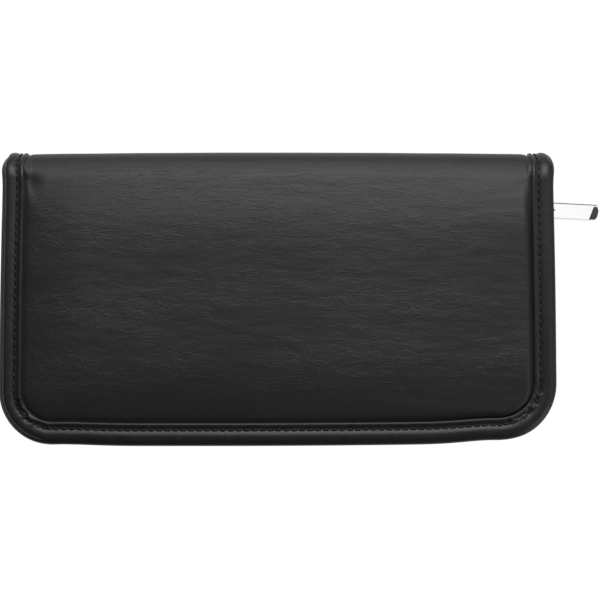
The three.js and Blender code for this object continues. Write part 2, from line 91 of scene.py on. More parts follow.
class NodeKit:
    """A new node material with its shader, and short ways to add and join its nodes."""

    def __init__(self, name: str, color: Color, roughness: float) -> None:
        """Starts a material.

        Args:
            name: the material's name.
            color: base colour, linear.
            roughness: roughness of the shader.
        """
        self.material = bpy.data.materials.new(name)
        self.material.use_nodes = True
        self.tree = self.material.node_tree
        self.shader = self.tree.nodes["Principled BSDF"]
        self.shader.inputs["Base Color"].default_value = (*color, 1)
        self.shader.inputs["Roughness"].default_value = roughness
        self.place = self.node("ShaderNodeTexCoord").outputs["Object"]

    def node(self, kind: str, **values: object) -> bpy.types.Node:
        """Adds a node.

        Args:
            kind: Blender's name for the node's type.
            values: properties of the node to set.

        Returns:
            The new node.
        """
        made = self.tree.nodes.new(kind)
        for key, value in values.items():
            setattr(made, key, value)
        return made

    def join(self, source: object, target: object) -> None:
        """Joins an output to an input."""
        self.tree.links.new(source, target)

    def feed(self, value: object, target: object) -> None:
        """Sets an input to a number, or joins a socket to it.

        Args:
            value: number or output socket.
            target: the input.
        """
        if isinstance(value, (int, float)):
            target.default_value = value
        else:
            self.join(value, target)

    def stretched(self, scale: Place) -> object:
        """The object's coordinates, scaled along each axis.

        Args:
            scale: factor along X, Y and Z.

        Returns:
            The output socket of the scaled place.
        """
        mapping = self.node("ShaderNodeMapping")
        mapping.inputs["Scale"].default_value = scale
        self.join(self.place, mapping.inputs["Vector"])
        return mapping.outputs["Vector"]

    def noise(self, place: object, scale: float, detail: float, rough: float, bend: float = 0) -> object:
        """A noise texture.

        Args:
            place: socket of the place to read it at.
            scale: how many waves there are in a metre.
            detail: octaves.
            rough: strength of the finer octaves.
            bend: distortion.

        Returns:
            The factor's output socket.
        """
        made = self.node("ShaderNodeTexNoise")
        inputs = {"Scale": scale, "Detail": detail, "Roughness": rough, "Distortion": bend}
        for key, value in inputs.items():
            made.inputs[key].default_value = value
        self.join(place, made.inputs["Vector"])
        return made.outputs["Fac"]

    def math(self, operation: str, first: object, second: object = 0.0) -> object:
        """A sum on sockets or numbers.

        Args:
            operation: Blender's name for it.
            first: socket or number.
            second: socket or number.

        Returns:
            The result's output socket.
        """
        made = self.node("ShaderNodeMath", operation=operation)
        self.feed(first, made.inputs[0])
        self.feed(second, made.inputs[1])
        return made.outputs[0]

    def between(self, value: object, low: float, high: float, out_low: float, out_high: float) -> object:
        """A value moved from one range to another, and kept inside it.

        Args:
            value: socket to read.
            low: value that gives `out_low`.
            high: value that gives `out_high`.
            out_low: result at `low`.
            out_high: result at `high`.

        Returns:
            The result's output socket.
        """
        made = self.node("ShaderNodeMapRange")
        self.join(value, made.inputs["Value"])
        for index, number in enumerate((low, high, out_low, out_high), start=1):
            made.inputs[index].default_value = number
        return made.outputs[0]

    def tint(self, factor: object, low: Color, high: Color) -> None:
        """Sets the base colour to a mix of two by a factor.

        Args:
            factor: socket from 0 to 1.
            low: linear colour at 0.
            high: linear colour at 1.
        """
        ramp = self.node("ShaderNodeValToRGB")
        ramp.color_ramp.elements[0].color = (*low, 1)
        ramp.color_ramp.elements[1].color = (*high, 1)
        self.join(factor, ramp.inputs["Fac"])
        self.join(ramp.outputs["Color"], self.shader.inputs["Base Color"])

    def axes(self) -> tuple:
        """The object's coordinates, one by one.

        Returns:
            The sockets of X, Y and Z.
        """
        made = self.node("ShaderNodeSeparateXYZ")
        self.join(self.place, made.inputs[0])
        return tuple(made.outputs)

    def roughen(self, value: object, roughness: float, spread: Span) -> None:
        """Varies the roughness with a noise.

        Args:
            value: socket of the noise.
            roughness: mean roughness.
            spread: change at the noise's low and high end.
        """
        rough = self.between(value, 0.3, 0.7, roughness + spread[0], roughness + spread[1])
        self.join(rough, self.shader.inputs["Roughness"])

    def bump(self, height: object, strength: float, distance: float, under: object = None) -> object:
        """Adds a bump on the surface.

        Args:
            height: socket of the height.
            strength: how strong it is, to 1.
            distance: depth in metres.
            under: normal that it is added to, or None.

        Returns:
            The normal's output socket.
        """
        made = self.node("ShaderNodeBump")
        made.inputs["Strength"].default_value = strength
        made.inputs["Distance"].default_value = distance
        self.join(height, made.inputs["Height"])
        if under is not None:
            self.join(under, made.inputs["Normal"])
        self.join(made.outputs["Normal"], self.shader.inputs["Normal"])
        return made.outputs["Normal"]


@dataclass(frozen=True)
class GrainedLeather:
    """Imitation leather with a fine grain of creases that run along the wallet.

    The grain fades near the front edge and the spine, where the leather is pulled smooth.
    """

    name: str = "grained_leatherette"
    color: Color = (0.030, 0.031, 0.031)
    worn: Color = (0.040, 0.041, 0.041)
    roughness: float = 0.47
    rough_spread: Span = (-0.06, 0.08)
    crease_scale: float = 620.0
    crease_stretch: float = 0.3
    crease_bend: float = 0.6
    crease_depth: float = 0.21 * MM
    crease_strength: float = 0.8
    line_width: float = 0.12
    line_strength: float = 0.35
    patch_scale: float = 45.0
    patch_weakest: float = 0.35
    pore_scale: float = 2600.0
    pore_depth: float = 0.03 * MM
    pore_strength: float = 0.5
    front_fade: Span = (-50 * MM, -28 * MM)
    spine_fade: Span = (54 * MM, 62 * MM)
    faded: float = 0.3

    def make(self) -> Material:
        """Builds the material.

        Returns:
            The node material.
        """
        kit = NodeKit(self.name, self.color, self.roughness)
        along = kit.stretched((self.crease_stretch, 1, 1))
        creases = kit.noise(along, self.crease_scale, 5, 0.6, self.crease_bend)
        ridged = kit.math("ABSOLUTE", kit.math("SUBTRACT", creases, 0.5))
        lines = kit.between(ridged, 0.0, self.line_width, 0.0, 1.0)
        across = kit.axes()[1]
        front = kit.between(across, *self.front_fade, self.faded, 1.0)
        spine = kit.between(across, *self.spine_fade, 1.0, self.faded)
        patch = kit.between(kit.noise(along, self.patch_scale, 2, 0.5), 0.35, 0.6, self.patch_weakest, 1.0)
        kept = kit.math("MULTIPLY", kit.math("MULTIPLY", front, spine), patch)
        creases = kit.math("MULTIPLY", creases, kept)
        lines = kit.math("MULTIPLY", lines, kept)
        pores = kit.noise(kit.place, self.pore_scale, 2, 0.6)
        kit.tint(kit.between(creases, 0.2, 0.68, 0, 1), self.color, self.worn)
        kit.roughen(pores, self.roughness, self.rough_spread)
        under = kit.bump(creases, self.crease_strength, self.crease_depth)
        under = kit.bump(lines, self.line_strength, self.crease_depth, under)
        kit.bump(pores, self.pore_strength, self.pore_depth, under)
        return kit.material


@dataclass(frozen=True)
class SmoothLeather:
    """Smoother imitation leather of the folded binding, with a soft shine."""

    name: str = "binding_leatherette"
    color: Color = (0.022, 0.0225, 0.0225)
    worn: Color = (0.034, 0.034, 0.0335)
    roughness: float = 0.4
    rough_spread: Span = (-0.05, 0.08)
    pucker_scale: float = 260.0
    pucker_depth: float = 0.12 * MM
    pucker_strength: float = 0.6
    pore_scale: float = 2400.0
    pore_depth: float = 0.025 * MM
    pore_strength: float = 0.5

    def make(self) -> Material:
        """Builds the material.

        Returns:
            The node material.
        """
        kit = NodeKit(self.name, self.color, self.roughness)
        puckers = kit.noise(kit.place, self.pucker_scale, 4, 0.55, 0.4)
        pores = kit.noise(kit.place, self.pore_scale, 2, 0.6)
        kit.tint(kit.between(puckers, 0.3, 0.7, 0, 1), self.color, self.worn)
        kit.roughen(pores, self.roughness, self.rough_spread)
        under = kit.bump(puckers, self.pucker_strength, self.pucker_depth)
        kit.bump(pores, self.pore_strength, self.pore_depth, under)
        return kit.material


@dataclass(frozen=True)
class WovenCloth:
    """Plain-woven black cloth: lining, zip tape or elastic, by the pitch of its threads."""

    name: str
    pitch: float = 0.7 * MM
    color: Color = (0.014, 0.014, 0.016)
    thread: Color = (0.034, 0.034, 0.038)
    depth: float = 0.1 * MM
    strength: float = 0.6
    roughness: float = 0.75
    sheen: float = 0.15
    weave_share: float = 0.35
    wear_scale: float = 900.0

    def make(self) -> Material:
        """Builds the material.

        Returns:
            The node material.
        """
        kit = NodeKit(self.name, self.color, self.roughness)
        kit.shader.inputs["Sheen Weight"].default_value = self.sheen
        turns = 2 * math.pi / self.pitch
        waves = [kit.math("SINE", kit.math("MULTIPLY", axis, turns)) for axis in kit.axes()]
        woven = kit.math("ADD", kit.math("MULTIPLY", waves[0], waves[1]), waves[2])
        wear = kit.noise(kit.place, self.wear_scale, 3, 0.6)
        height = kit.math("ADD", kit.math("MULTIPLY", woven, self.weave_share), wear)
        kit.tint(kit.between(height, 0.1, 1.0, 0, 1), self.color, self.thread)
        kit.bump(height, self.strength, self.depth)
        return kit.material


@dataclass(frozen=True)
class Flecked:
    """A finish whose colour, roughness and relief all follow one noise."""

    name: str
    color: Color
    fleck: Color
    roughness: float
    scale: float
    detail: float = 2.0
    grain: float = 0.5
    stretch: Place = (1, 1, 1)
    tint_span: Span = (0.0, 1.0)
    rough_spread: Span = (0.0, 0.0)
    relief: Span = (0.0, 0.0)
    metallic: float = 0.0

    def make(self) -> Material:
        """Builds the material.

        Returns:
            The node material.
        """
        kit = NodeKit(self.name, self.color, self.roughness)
        kit.shader.inputs["Metallic"].default_value = self.metallic
        flecks = kit.noise(kit.stretched(self.stretch), self.scale, self.detail, self.grain)
        kit.tint(kit.between(flecks, *self.tint_span, 0, 1), self.color, self.fleck)
        if any(self.rough_spread):
            kit.roughen(flecks, self.roughness, self.rough_spread)
        if any(self.relief):
            kit.bump(flecks, *self.relief)
        return kit.material


class Finish(Enum):
    """The finishes that follow one noise, by their part of the wallet, with the painted reflection on the
    tag's tip.
    """

    THREAD = Flecked(
        "sewing_thread",
        (0.012, 0.012, 0.012),
        (0.024, 0.024, 0.024),
        0.5,
        2800.0,
        detail=1.0,
        stretch=(1, 1.6, 1),
        relief=(0.6, 0.05 * MM),
    )
    NYLON = Flecked(
        "zip_nylon",
        (0.016, 0.016, 0.017),
        (0.0256, 0.0256, 0.0272),
        0.35,
        1500.0,
        rough_spread=(-0.08, 0.12),
    )
    NICKEL = Flecked(
        "bright_nickel",
        (0.8, 0.8, 0.81),
        (0.9, 0.9, 0.905),
        0.12,
        1800.0,
        grain=0.6,
        stretch=(0.15, 1, 1),
        tint_span=(0.3, 0.7),
        rough_spread=(-0.04, 0.07),
        relief=(0.3, 0.004 * MM),
        metallic=1.0,
    )
    # Painted reflection: this dark colour on the tag's tip stands in for the dark surround mirrored in the
    # tip's rounded metal end.
    PAINTED_REFLECTION = Flecked(
        "painted_reflection_dark",
        (0.055, 0.056, 0.055),
        (0.0715, 0.0728, 0.0715),
        0.35,
        1200.0,
        rough_spread=(-0.05, 0.08),
    )
    BOARD = Flecked(
        "grey_board",
        (0.30, 0.25, 0.19),
        (0.42, 0.36, 0.28),
        0.9,
        900.0,
        detail=4.0,
        grain=0.7,
        stretch=(0.4, 1, 1),
        tint_span=(0.3, 0.7),
        relief=(0.5, 0.05 * MM),
    )

    def make(self) -> Material:
        """Builds the finish's material."""
        return self.value.make()


# Shapes made by formula


@dataclass
class Shape:
    """Points and faces of a mesh that is being built."""

    points: list = field(default_factory=list)
    faces: list = field(default_factory=list)

    def add_grid(self, grid: Array, wrap_rows: bool = False, wrap_columns: bool = False) -> None:
        """Adds a sheet of four-sided faces.

        Args:
            grid: places in metres, rows by columns by 3.
            wrap_rows: whether the last row joins the first.
            wrap_columns: whether the last column joins the first.
        """
        rows, columns = grid.shape[:2]
        start = len(self.points)
        self.points.extend(map(tuple, grid.reshape(-1, 3)))
        for row in range(rows if wrap_rows else rows - 1):
            below = (row + 1) % rows
            for column in range(columns if wrap_columns else columns - 1):
                beside = (column + 1) % columns
                corners = ((row, column), (row, beside), (below, beside), (below, column))
                self.faces.append(tuple(start + r * columns + c for r, c in corners))

    def add_tube(self, path: Array, radius: float, sides: int, closed: bool = False) -> None:
        """Adds a round wire or thread along a path.

        Args:
            path: places in metres.
            radius: radius of the wire.
            sides: how many sides it has.
            closed: whether its ends meet.
        """
        count = len(path)
        after = np.roll(path, -1, axis=0)
        before = np.roll(path, 1, axis=0)
        if not closed:
            after[-1] = path[-1]
            before[0] = path[0]
        heading = after - before
        heading /= np.linalg.norm(heading, axis=1, keepdims=True)
        up = np.tile(least_along(heading.mean(axis=0) + heading[0]), (count, 1))
        across = np.cross(heading, up)
        across /= np.linalg.norm(across, axis=1, keepdims=True)
        over = np.cross(across, heading)
        turn = np.arange(sides) * 2 * math.pi / sides
        ring = across[:, None] * np.cos(turn)[None, :, None] + over[:, None] * np.sin(turn)[None, :, None]
        start = len(self.points)
        self.add_grid(path[:, None] + radius * ring, wrap_rows=closed, wrap_columns=True)
        if not closed:
            self.add_lids(start, sides)

    def add_lids(self, start: int, count: int) -> None:
        """Closes both ends of a tube.

        Args:
            start: number of its first point. Its last point is the shape's last.
            count: points in a ring.
        """
        last = len(self.points) - count
        self.faces.append(tuple(range(start, start + count)))
        self.faces.append(tuple(range(last, last + count)))

    def build(self, name: str, material: Material, smooth: bool = True) -> Piece:
        """Makes the object.

        Args:
            name: name of the piece.
            material: its finish.
            smooth: whether it is shaded smooth.

        Returns:
            The new object, with its faces turned outwards.
        """
        mesh = bpy.data.meshes.new(name)
        mesh.from_pydata(self.points, [], self.faces)
        work = bmesh.new()
        work.from_mesh(mesh)
        bmesh.ops.remove_doubles(work, verts=work.verts, dist=0.001 * MM)
        bmesh.ops.recalc_face_normals(work, faces=work.faces)
        work.to_mesh(mesh)
        work.free()
        mesh.polygons.foreach_set("use_smooth", [smooth] * len(mesh.polygons))
        mesh.materials.append(material)
        return added(name, mesh)


def added(name: str, data: bpy.types.ID) -> Piece:
    """Adds an object to the scene.

    Args:
        name: its name.
        data: its mesh, lamp or camera.

    Returns:
        The new object.
    """
    made = bpy.data.objects.new(name, data)
    bpy.context.scene.collection.objects.link(made)
    return made


def least_along(heading: Array) -> Array:
    """The axis that a heading runs along least."""
    return np.eye(3)[int(np.argmin(np.abs(heading)))]


def points(x: Array, y: Array, z: Array) -> Array:
    """Joins coordinates into points."""
    return np.stack(np.broadcast_arrays(x, y, z), axis=-1)


def smooth_step(value: Array, low: float, high: float) -> Array:
    """Soft step from 0 at `low` to 1 at `high`.

    Args:
        value: numbers to step.
        low: where the step starts.
        high: where it ends.

    Returns:
        The steps.
    """
    part = np.clip((value - low) / (high - low), 0, 1)
    return part * part * (3 - 2 * part)


def hump(value: Array, centre: float, width: float) -> Array:
    """A round hump of height 1, by its middle and half width."""
    return np.exp(-(((value - centre) / width) ** 2))


def rim_of(grid: Array) -> Array:
    """Marks the outermost points of a grid.

    Args:
        grid: any value of the grid's points, rows by columns.

    Returns:
        True at each outermost point.
    """
    rim = np.ones(grid.shape, bool)
    rim[1:-1, 1:-1] = False
    return rim


@dataclass(frozen=True)
class Wave:
    """Soft noise over a sheet, by the length of its waves, which noise it is and its height."""

    along: float
    across: float
    seed: float
    height: float = 1.0

    def over(self, x: Array, y: Array) -> Array:
        """Reads the noise.

        Args:
            x: places along the sheet.
            y: places across it.

        Returns:
            Heights, to about the wave's own height either way.
        """
        flat = zip(np.ravel(x / self.along), np.ravel(y / self.across))
        values = [noise.noise(Vector((u, v, self.seed))) for u, v in flat]
        return self.height * np.array(values).reshape(np.shape(x))


@dataclass(frozen=True)
class Line:
    """A line on a sheet, with the way in from it and the distance along it."""

    places: Array
    inward: Array
    along: Array
    period: float | None = None

    @classmethod
    def through(cls, places: Array, inward: Array) -> Line:
        """Measures the line through some places.

        Args:
            places: x and s of each place.
            inward: inward heading at each place.

        Returns:
            The line.
        """
        steps = np.linalg.norm(np.diff(places, axis=0), axis=1)
        return cls(places, inward, np.concatenate(([0.0], np.cumsum(steps))))

    def at(self, spots: Array) -> tuple[Array, Array]:
        """Finds places by their distance along the line.

        Args:
            spots: the distances.

        Returns:
            The places and the inward headings there.
        """
        found = []
        for values in (self.places, self.inward):
            sides = [np.interp(spots, self.along, side, period=self.period) for side in values.T]
            found.append(np.stack(sides, axis=-1))
        return found[0], found[1]

    def section(self, insets: Array) -> tuple[Array, Array]:
        """Sets out a section at every place of the line.

        Args:
            insets: distances in from the line of the section's points.

        Returns:
            Their x and s, places by points.
        """
        at = self.places[:, None] + insets[None, :, None] * self.inward[:, None]
        return at[..., 0], at[..., 1]


# The wallet's covers, laid out round the spine


@dataclass(frozen=True)
class Fold:
    """The covers unrolled into one sheet with rounded corners.

    A place on the sheet is x along the wallet and s across it. s is 0 on the middle of the spine, positive
    on the front cover and negative on the back cover. The depth is measured in from the outermost face.
    """

    half_length: float
    middle: float
    spine_y: float
    edge_y: float
    corner_left: float = 24 * MM
    corner_right: float = 26 * MM
    side_bow: float = 0.8 * MM
    bow_centre: float = 86 * MM
    bow_reach: float = 71 * MM
    spine_pinch: float = 0.1 * MM
    pinch_reach: float = 6 * MM
    cap_bulge: float = 0.7 * MM
    cap_place: float = 12 * MM
    slope: float = 1.5 * MM
    slope_start: float = -30 * MM
    slope_reach: float = 130 * MM
    stretch: float = 1.007
    corner_lift: float = 1.9 * MM
    corner_place: float = 92 * MM
    corner_spread: float = 16 * MM
    corner_left_share: float = 0.5

    @classmethod
    def of_frame(cls) -> Fold:
        """Reads the sizes from the frame.

        Returns:
            The fold of the wallet's covers.
        """
        low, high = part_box("front_cover")
        edge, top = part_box("front_binding")
        spine_low, spine_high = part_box("spine_cover")
        middle = (spine_low.z + spine_high.z) / 2
        return cls(top.x, middle, spine_high.y - middle, edge.y)

    @property
    def arc(self) -> float:
        """Length of a quarter turn round the spine."""
        return self.middle * math.pi / 2

    @property
    def reach(self) -> float:
        """Distance from the middle of the spine to the far edge, along the sheet."""
        return self.arc + self.spine_y - self.edge_y

    def place(self, x: Array, s: Array, depth: Array) -> Array:
        """Rolls places on the sheet round the spine.

        Args:
            x: place along the wallet.
            s: place across the sheet.
            depth: distance in from the outermost face.

        Returns:
            Places in the frame, in metres.
        """
        x, s, depth = np.broadcast_arrays(x, s, depth)
        across = np.abs(s)
        flat = np.maximum(across - self.arc, 0)
        bend = np.clip(s / self.arc, -1, 1) * math.pi / 2
        radius = self.middle - depth
        narrow = self.side_bow * ((across - self.bow_centre) / self.bow_reach) ** 2
        narrow = narrow * (across < self.bow_centre) + self.spine_pinch * hump(s, 0, self.pinch_reach)
        narrow = narrow - self.cap_bulge * hump(across, self.cap_place, self.pinch_reach)
        far = flat / self.reach
        lift = self.slope * np.clip((x - self.slope_start) / self.slope_reach, 0, 1) ** 2
        right = hump(x, self.corner_place, self.corner_spread)
        left = hump(x, -self.corner_place, self.corner_spread)
        worn = right + self.corner_left_share * left
        lift = far * lift + far**2 * self.corner_lift * worn
        narrowed = x * (1 - narrow / self.half_length)
        y = self.spine_y + radius * np.cos(bend) - self.stretch * flat + lift
        return points(narrowed, y, self.middle + radius * np.sin(bend))

    def inset(self, x: Array, s: Array) -> Array:
        """Distance in from the sheet's outline.

        Args:
            x: place along the wallet.
            s: place across the sheet.

        Returns:
            The distances, positive inside.
        """
        corner = np.where(x < 0, self.corner_left, self.corner_right)
        past_x = np.abs(x) - (self.half_length - corner)
        past_s = np.abs(s) - (self.reach - corner)
        outside = np.hypot(np.maximum(past_x, 0), np.maximum(past_s, 0))
        return corner - outside - np.minimum(np.maximum(past_x, past_s), 0)

    def ends(self, s: Array, inset: float) -> tuple[Array, Array]:
        """Ends of a line across the sheet at one distance in from the outline.

        Args:
            s: places across the sheet.
            inset: distance in from the outline.

        Returns:
            The left and the right ends' x.
        """
        sides = []
        for corner in (self.corner_left, self.corner_right):
            past = np.clip(np.abs(s) - (self.reach - corner), 0, corner - inset)
            run = np.sqrt((corner - inset) ** 2 - past**2)
            sides.append(self.half_length - corner + run)
        return -sides[0], sides[1]

    def rows(self, inset: float, step: float) -> Array:
        """Places of the rows of a grid, closer together at the rounded corners.

        Args:
            inset: distance in from the outline.
            step: distance between rows.

        Returns:
            The rows' s, from the back cover's edge to the front cover's.
        """
        corner = (self.corner_left + self.corner_right) / 2 - inset
        turn = np.linspace(0, math.pi / 2, max(int(corner * math.pi / 2 / step), 4))
        straight = self.reach - inset - corner
        middle = np.linspace(-straight, straight, int(2 * straight / step))
        end = straight + corner * np.sin(turn[1:])
        return np.concatenate((-end[::-1], middle, end))

    def sheet(self, rows: Array, inset: float, part: Array) -> tuple[Array, Array]:
        """A grid over the sheet.

        Args:
            rows: s of each row.
            inset: distance in from the outline at which the rows end.
            part: places along a row, from 0 at its left end to 1.

        Returns:
            The grid's x and s, rows by columns.
        """
        left, right = self.ends(rows, inset)
        x = left[:, None] + part * (right - left)[:, None]
        return x, np.broadcast_to(rows[:, None], x.shape)

    def columns(self, step: float) -> Array:
        """Even places along a row, from 0 to 1."""
        return np.linspace(0, 1, int(2 * self.half_length / step))

    def outline(self, step: float) -> tuple[Array, Array]:
        """The outline of the sheet, and the way in from it.

        Args:
            step: distance between places.

        Returns:
            Places and inward headings, each as rows of x and s, once round.
        """
        places, inward = [], []
        sides = (1, -1, -1, 1)
        ends = (1, 1, -1, -1)
        corners = [self.corner_right if side > 0 else self.corner_left for side in sides]
        centres = [
            np.array((side * (self.half_length - corner), end * (self.reach - corner)))
            for side, end, corner in zip(sides, ends, corners)
        ]
        for index, (centre, corner) in enumerate(zip(centres, corners)):
            count = int(corner * math.pi / 2 / step)
            turn = index * math.pi / 2 + np.linspace(0, math.pi / 2, count)
            out = np.stack((np.cos(turn), np.sin(turn)), axis=-1)
            places.append(centre + corner * out)
            inward.append(-out)
            after = (index + 1) % len(corners)
            first = centre + corner * out[-1]
            last = centres[after] + corners[after] * out[-1]
            count = int(np.linalg.norm(last - first) / step)
            part = np.linspace(0, 1, count, endpoint=False)[1:, None]
            places.append(first + part * (last - first))
            inward.append(np.tile(-out[-1], (count - 1, 1)))
        return np.concatenate(places), np.concatenate(inward)


@dataclass(frozen=True)
class Cover:
    """Padded cover of one piece of imitation leather: both panels and the spine between them."""

    fold: Fold
    hem: float = 1.4 * MM
    step: float = 1.25 * MM
    under: float = 2.8 * MM
    edge_depth: float = 2.4 * MM
    rim_start: float = 10.3 * MM
    rim_reach: float = 17 * MM
    rim_tighter: float = 14.5 * MM
    spine_reach: float = 30 * MM
    spine_fill: float = 0.75
    shoulder_fill: float = 0.45
    dome: float = 1.9 * MM
    dome_reach: float = 28 * MM
    dome_right: float = 3 * MM
    edge_fill: float = 0.5 * MM
    skin: float = 0.35 * MM
    spine_swell: float = 0.9 * MM
    shoulder: float = 1.95 * MM
    shoulder_reach: float = 5.5 * MM
    crease_height: float = 0.12 * MM
    dent_left: float = 1.7 * MM
    dent_right: float = 0.4 * MM
    dent_reach: float = 9 * MM
    dent_place: float = 1.5 * MM
    dent_half: float = 4 * MM
    spine_share: float = 0.6
    spine_end_share: float = 1.3
    dome_start_share: float = 0.7
    fill_share: float = 0.45
    fill_half_share: float = 0.25
    spine_smoother: float = 0.55
    creases: Wave = Wave(14 * MM, 2.6 * MM, 3.7)
    fine_creases: Wave = Wave(7 * MM, 1.6 * MM, 8.2, 0.6)
    broad_waves: Wave = Wave(60 * MM, 16 * MM, 1.4)

    def depth(self, x: Array, s: Array) -> Array:
        """Depth of the outer face: a pillow with soft creases along the wallet.

        Args:
            x: places along the wallet.
            s: places across the sheet.

        Returns:
            The depths.
        """
        arc = self.fold.arc
        across = np.abs(s)
        inset = self.fold.inset(x, s)
        to_right = smooth_step(x, 0, self.fold.half_length - self.rim_reach)
        near_spine = 1 - smooth_step(across, arc, arc + self.spine_reach)
        reach = self.rim_reach - self.rim_tighter * np.maximum(to_right, near_spine)
        rise = np.clip(1 - (inset - self.rim_start) / reach, 0, 1)
        on_spine = 1 - smooth_step(across, self.spine_share * arc, self.spine_end_share * arc)
        fill = np.maximum(self.spine_fill * on_spine, self.shoulder_fill * near_spine)
        pillow = self.edge_depth * (1 - np.sqrt(1 - rise**2)) * (1 - fill)
        inside = smooth_step(inset, self.rim_start, self.rim_start + reach)
        creases = self.creases.over(x, s) + self.fine_creases.over(x, s) + self.broad_waves.over(x, s)
        strength = self.crease_height * inside * (1 - self.spine_smoother * on_spine)
        form = pillow + self.roll(x, s) * inside - self.swollen(x, s)
        return np.minimum(form + strength * creases + self.dent(x, s), self.under - self.skin)

    def roll(self, x: Array, s: Array) -> Array:
        """The padding's roll over the spine: full along its middle, drawn in at the shoulders.

        Args:
            x: places along the wallet.
            s: places across the sheet.

        Returns:
            How much deeper the face lies.
        """
        arc = self.fold.arc
        across = np.abs(s)
        swell = self.spine_swell * (1 - (x / self.fold.half_length) ** 2) * hump(s, 0, arc)
        past = np.maximum(across - self.spine_share * arc, 0) / self.shoulder_reach
        drawn = self.shoulder * (1 + past) * np.exp(-past) * smooth_step(across, 0, self.spine_share * arc)
        filled = self.edge_fill * hump(across, self.fill_share * arc, self.fill_half_share * arc)
        return drawn - filled - swell

    def swollen(self, x: Array, s: Array) -> Array:
        """The dome of the front panel, which starts at its four sides.

        Args:
            x: places along the wallet.
            s: places across the sheet.

        Returns:
            How far the face stands out.
        """
        from_left = smooth_step(self.fold.half_length + x - self.rim_start, 0, self.dome_reach)
        from_right = smooth_step(self.fold.half_length - x - self.rim_start, 0, self.dome_right)
        from_front = smooth_step(self.fold.reach - s - self.rim_start, 0, self.dome_reach)
        from_spine = smooth_step(s - self.dome_start_share * self.fold.arc, 0, self.dome_reach)
        return self.dome * from_left * from_right * from_front * from_spine

    def dent(self, x: Array, s: Array) -> Array:
        """Soft hollows where the panel meets the spine's ends, deepest at the left.

        Args:
            x: places along the wallet.
            s: places across the sheet.

        Returns:
            The hollows' depths.
        """
        across = np.abs(s) - self.fold.arc
        from_left = self.fold.half_length + x
        from_right = self.fold.half_length - x
        left = 1 - smooth_step(from_left, self.rim_start, self.rim_start + self.dent_reach)
        right = 1 - smooth_step(from_right, self.rim_start, self.rim_start + self.dent_reach)
        deep = self.dent_left * left + self.dent_right * right
        return deep * hump(across, self.dent_place, self.dent_half)

    def dress(self) -> Piece:
        """Builds the cover, closed underneath.

        Returns:
            The cover.
        """
        fold = self.fold
        even = fold.columns(self.step)
        closer_at_ends = (even + (1 - np.cos(math.pi * even)) / 2) / 2
        x, s = fold.sheet(fold.rows(self.hem, self.step), self.hem, closer_at_ends)
        rim = rim_of(x)
        depth = np.where(rim, (self.edge_depth + self.under) / 2, self.depth(x, s))
        shape = Shape()
        shape.add_grid(fold.place(x, s, depth))
        shape.add_grid(fold.place(x, s, np.where(rim, depth, self.under)))
        made = shape.build("padded_cover", GrainedLeather().make())
        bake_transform(made)
        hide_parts("front_cover", "back_cover", "spine_cover")
        return made


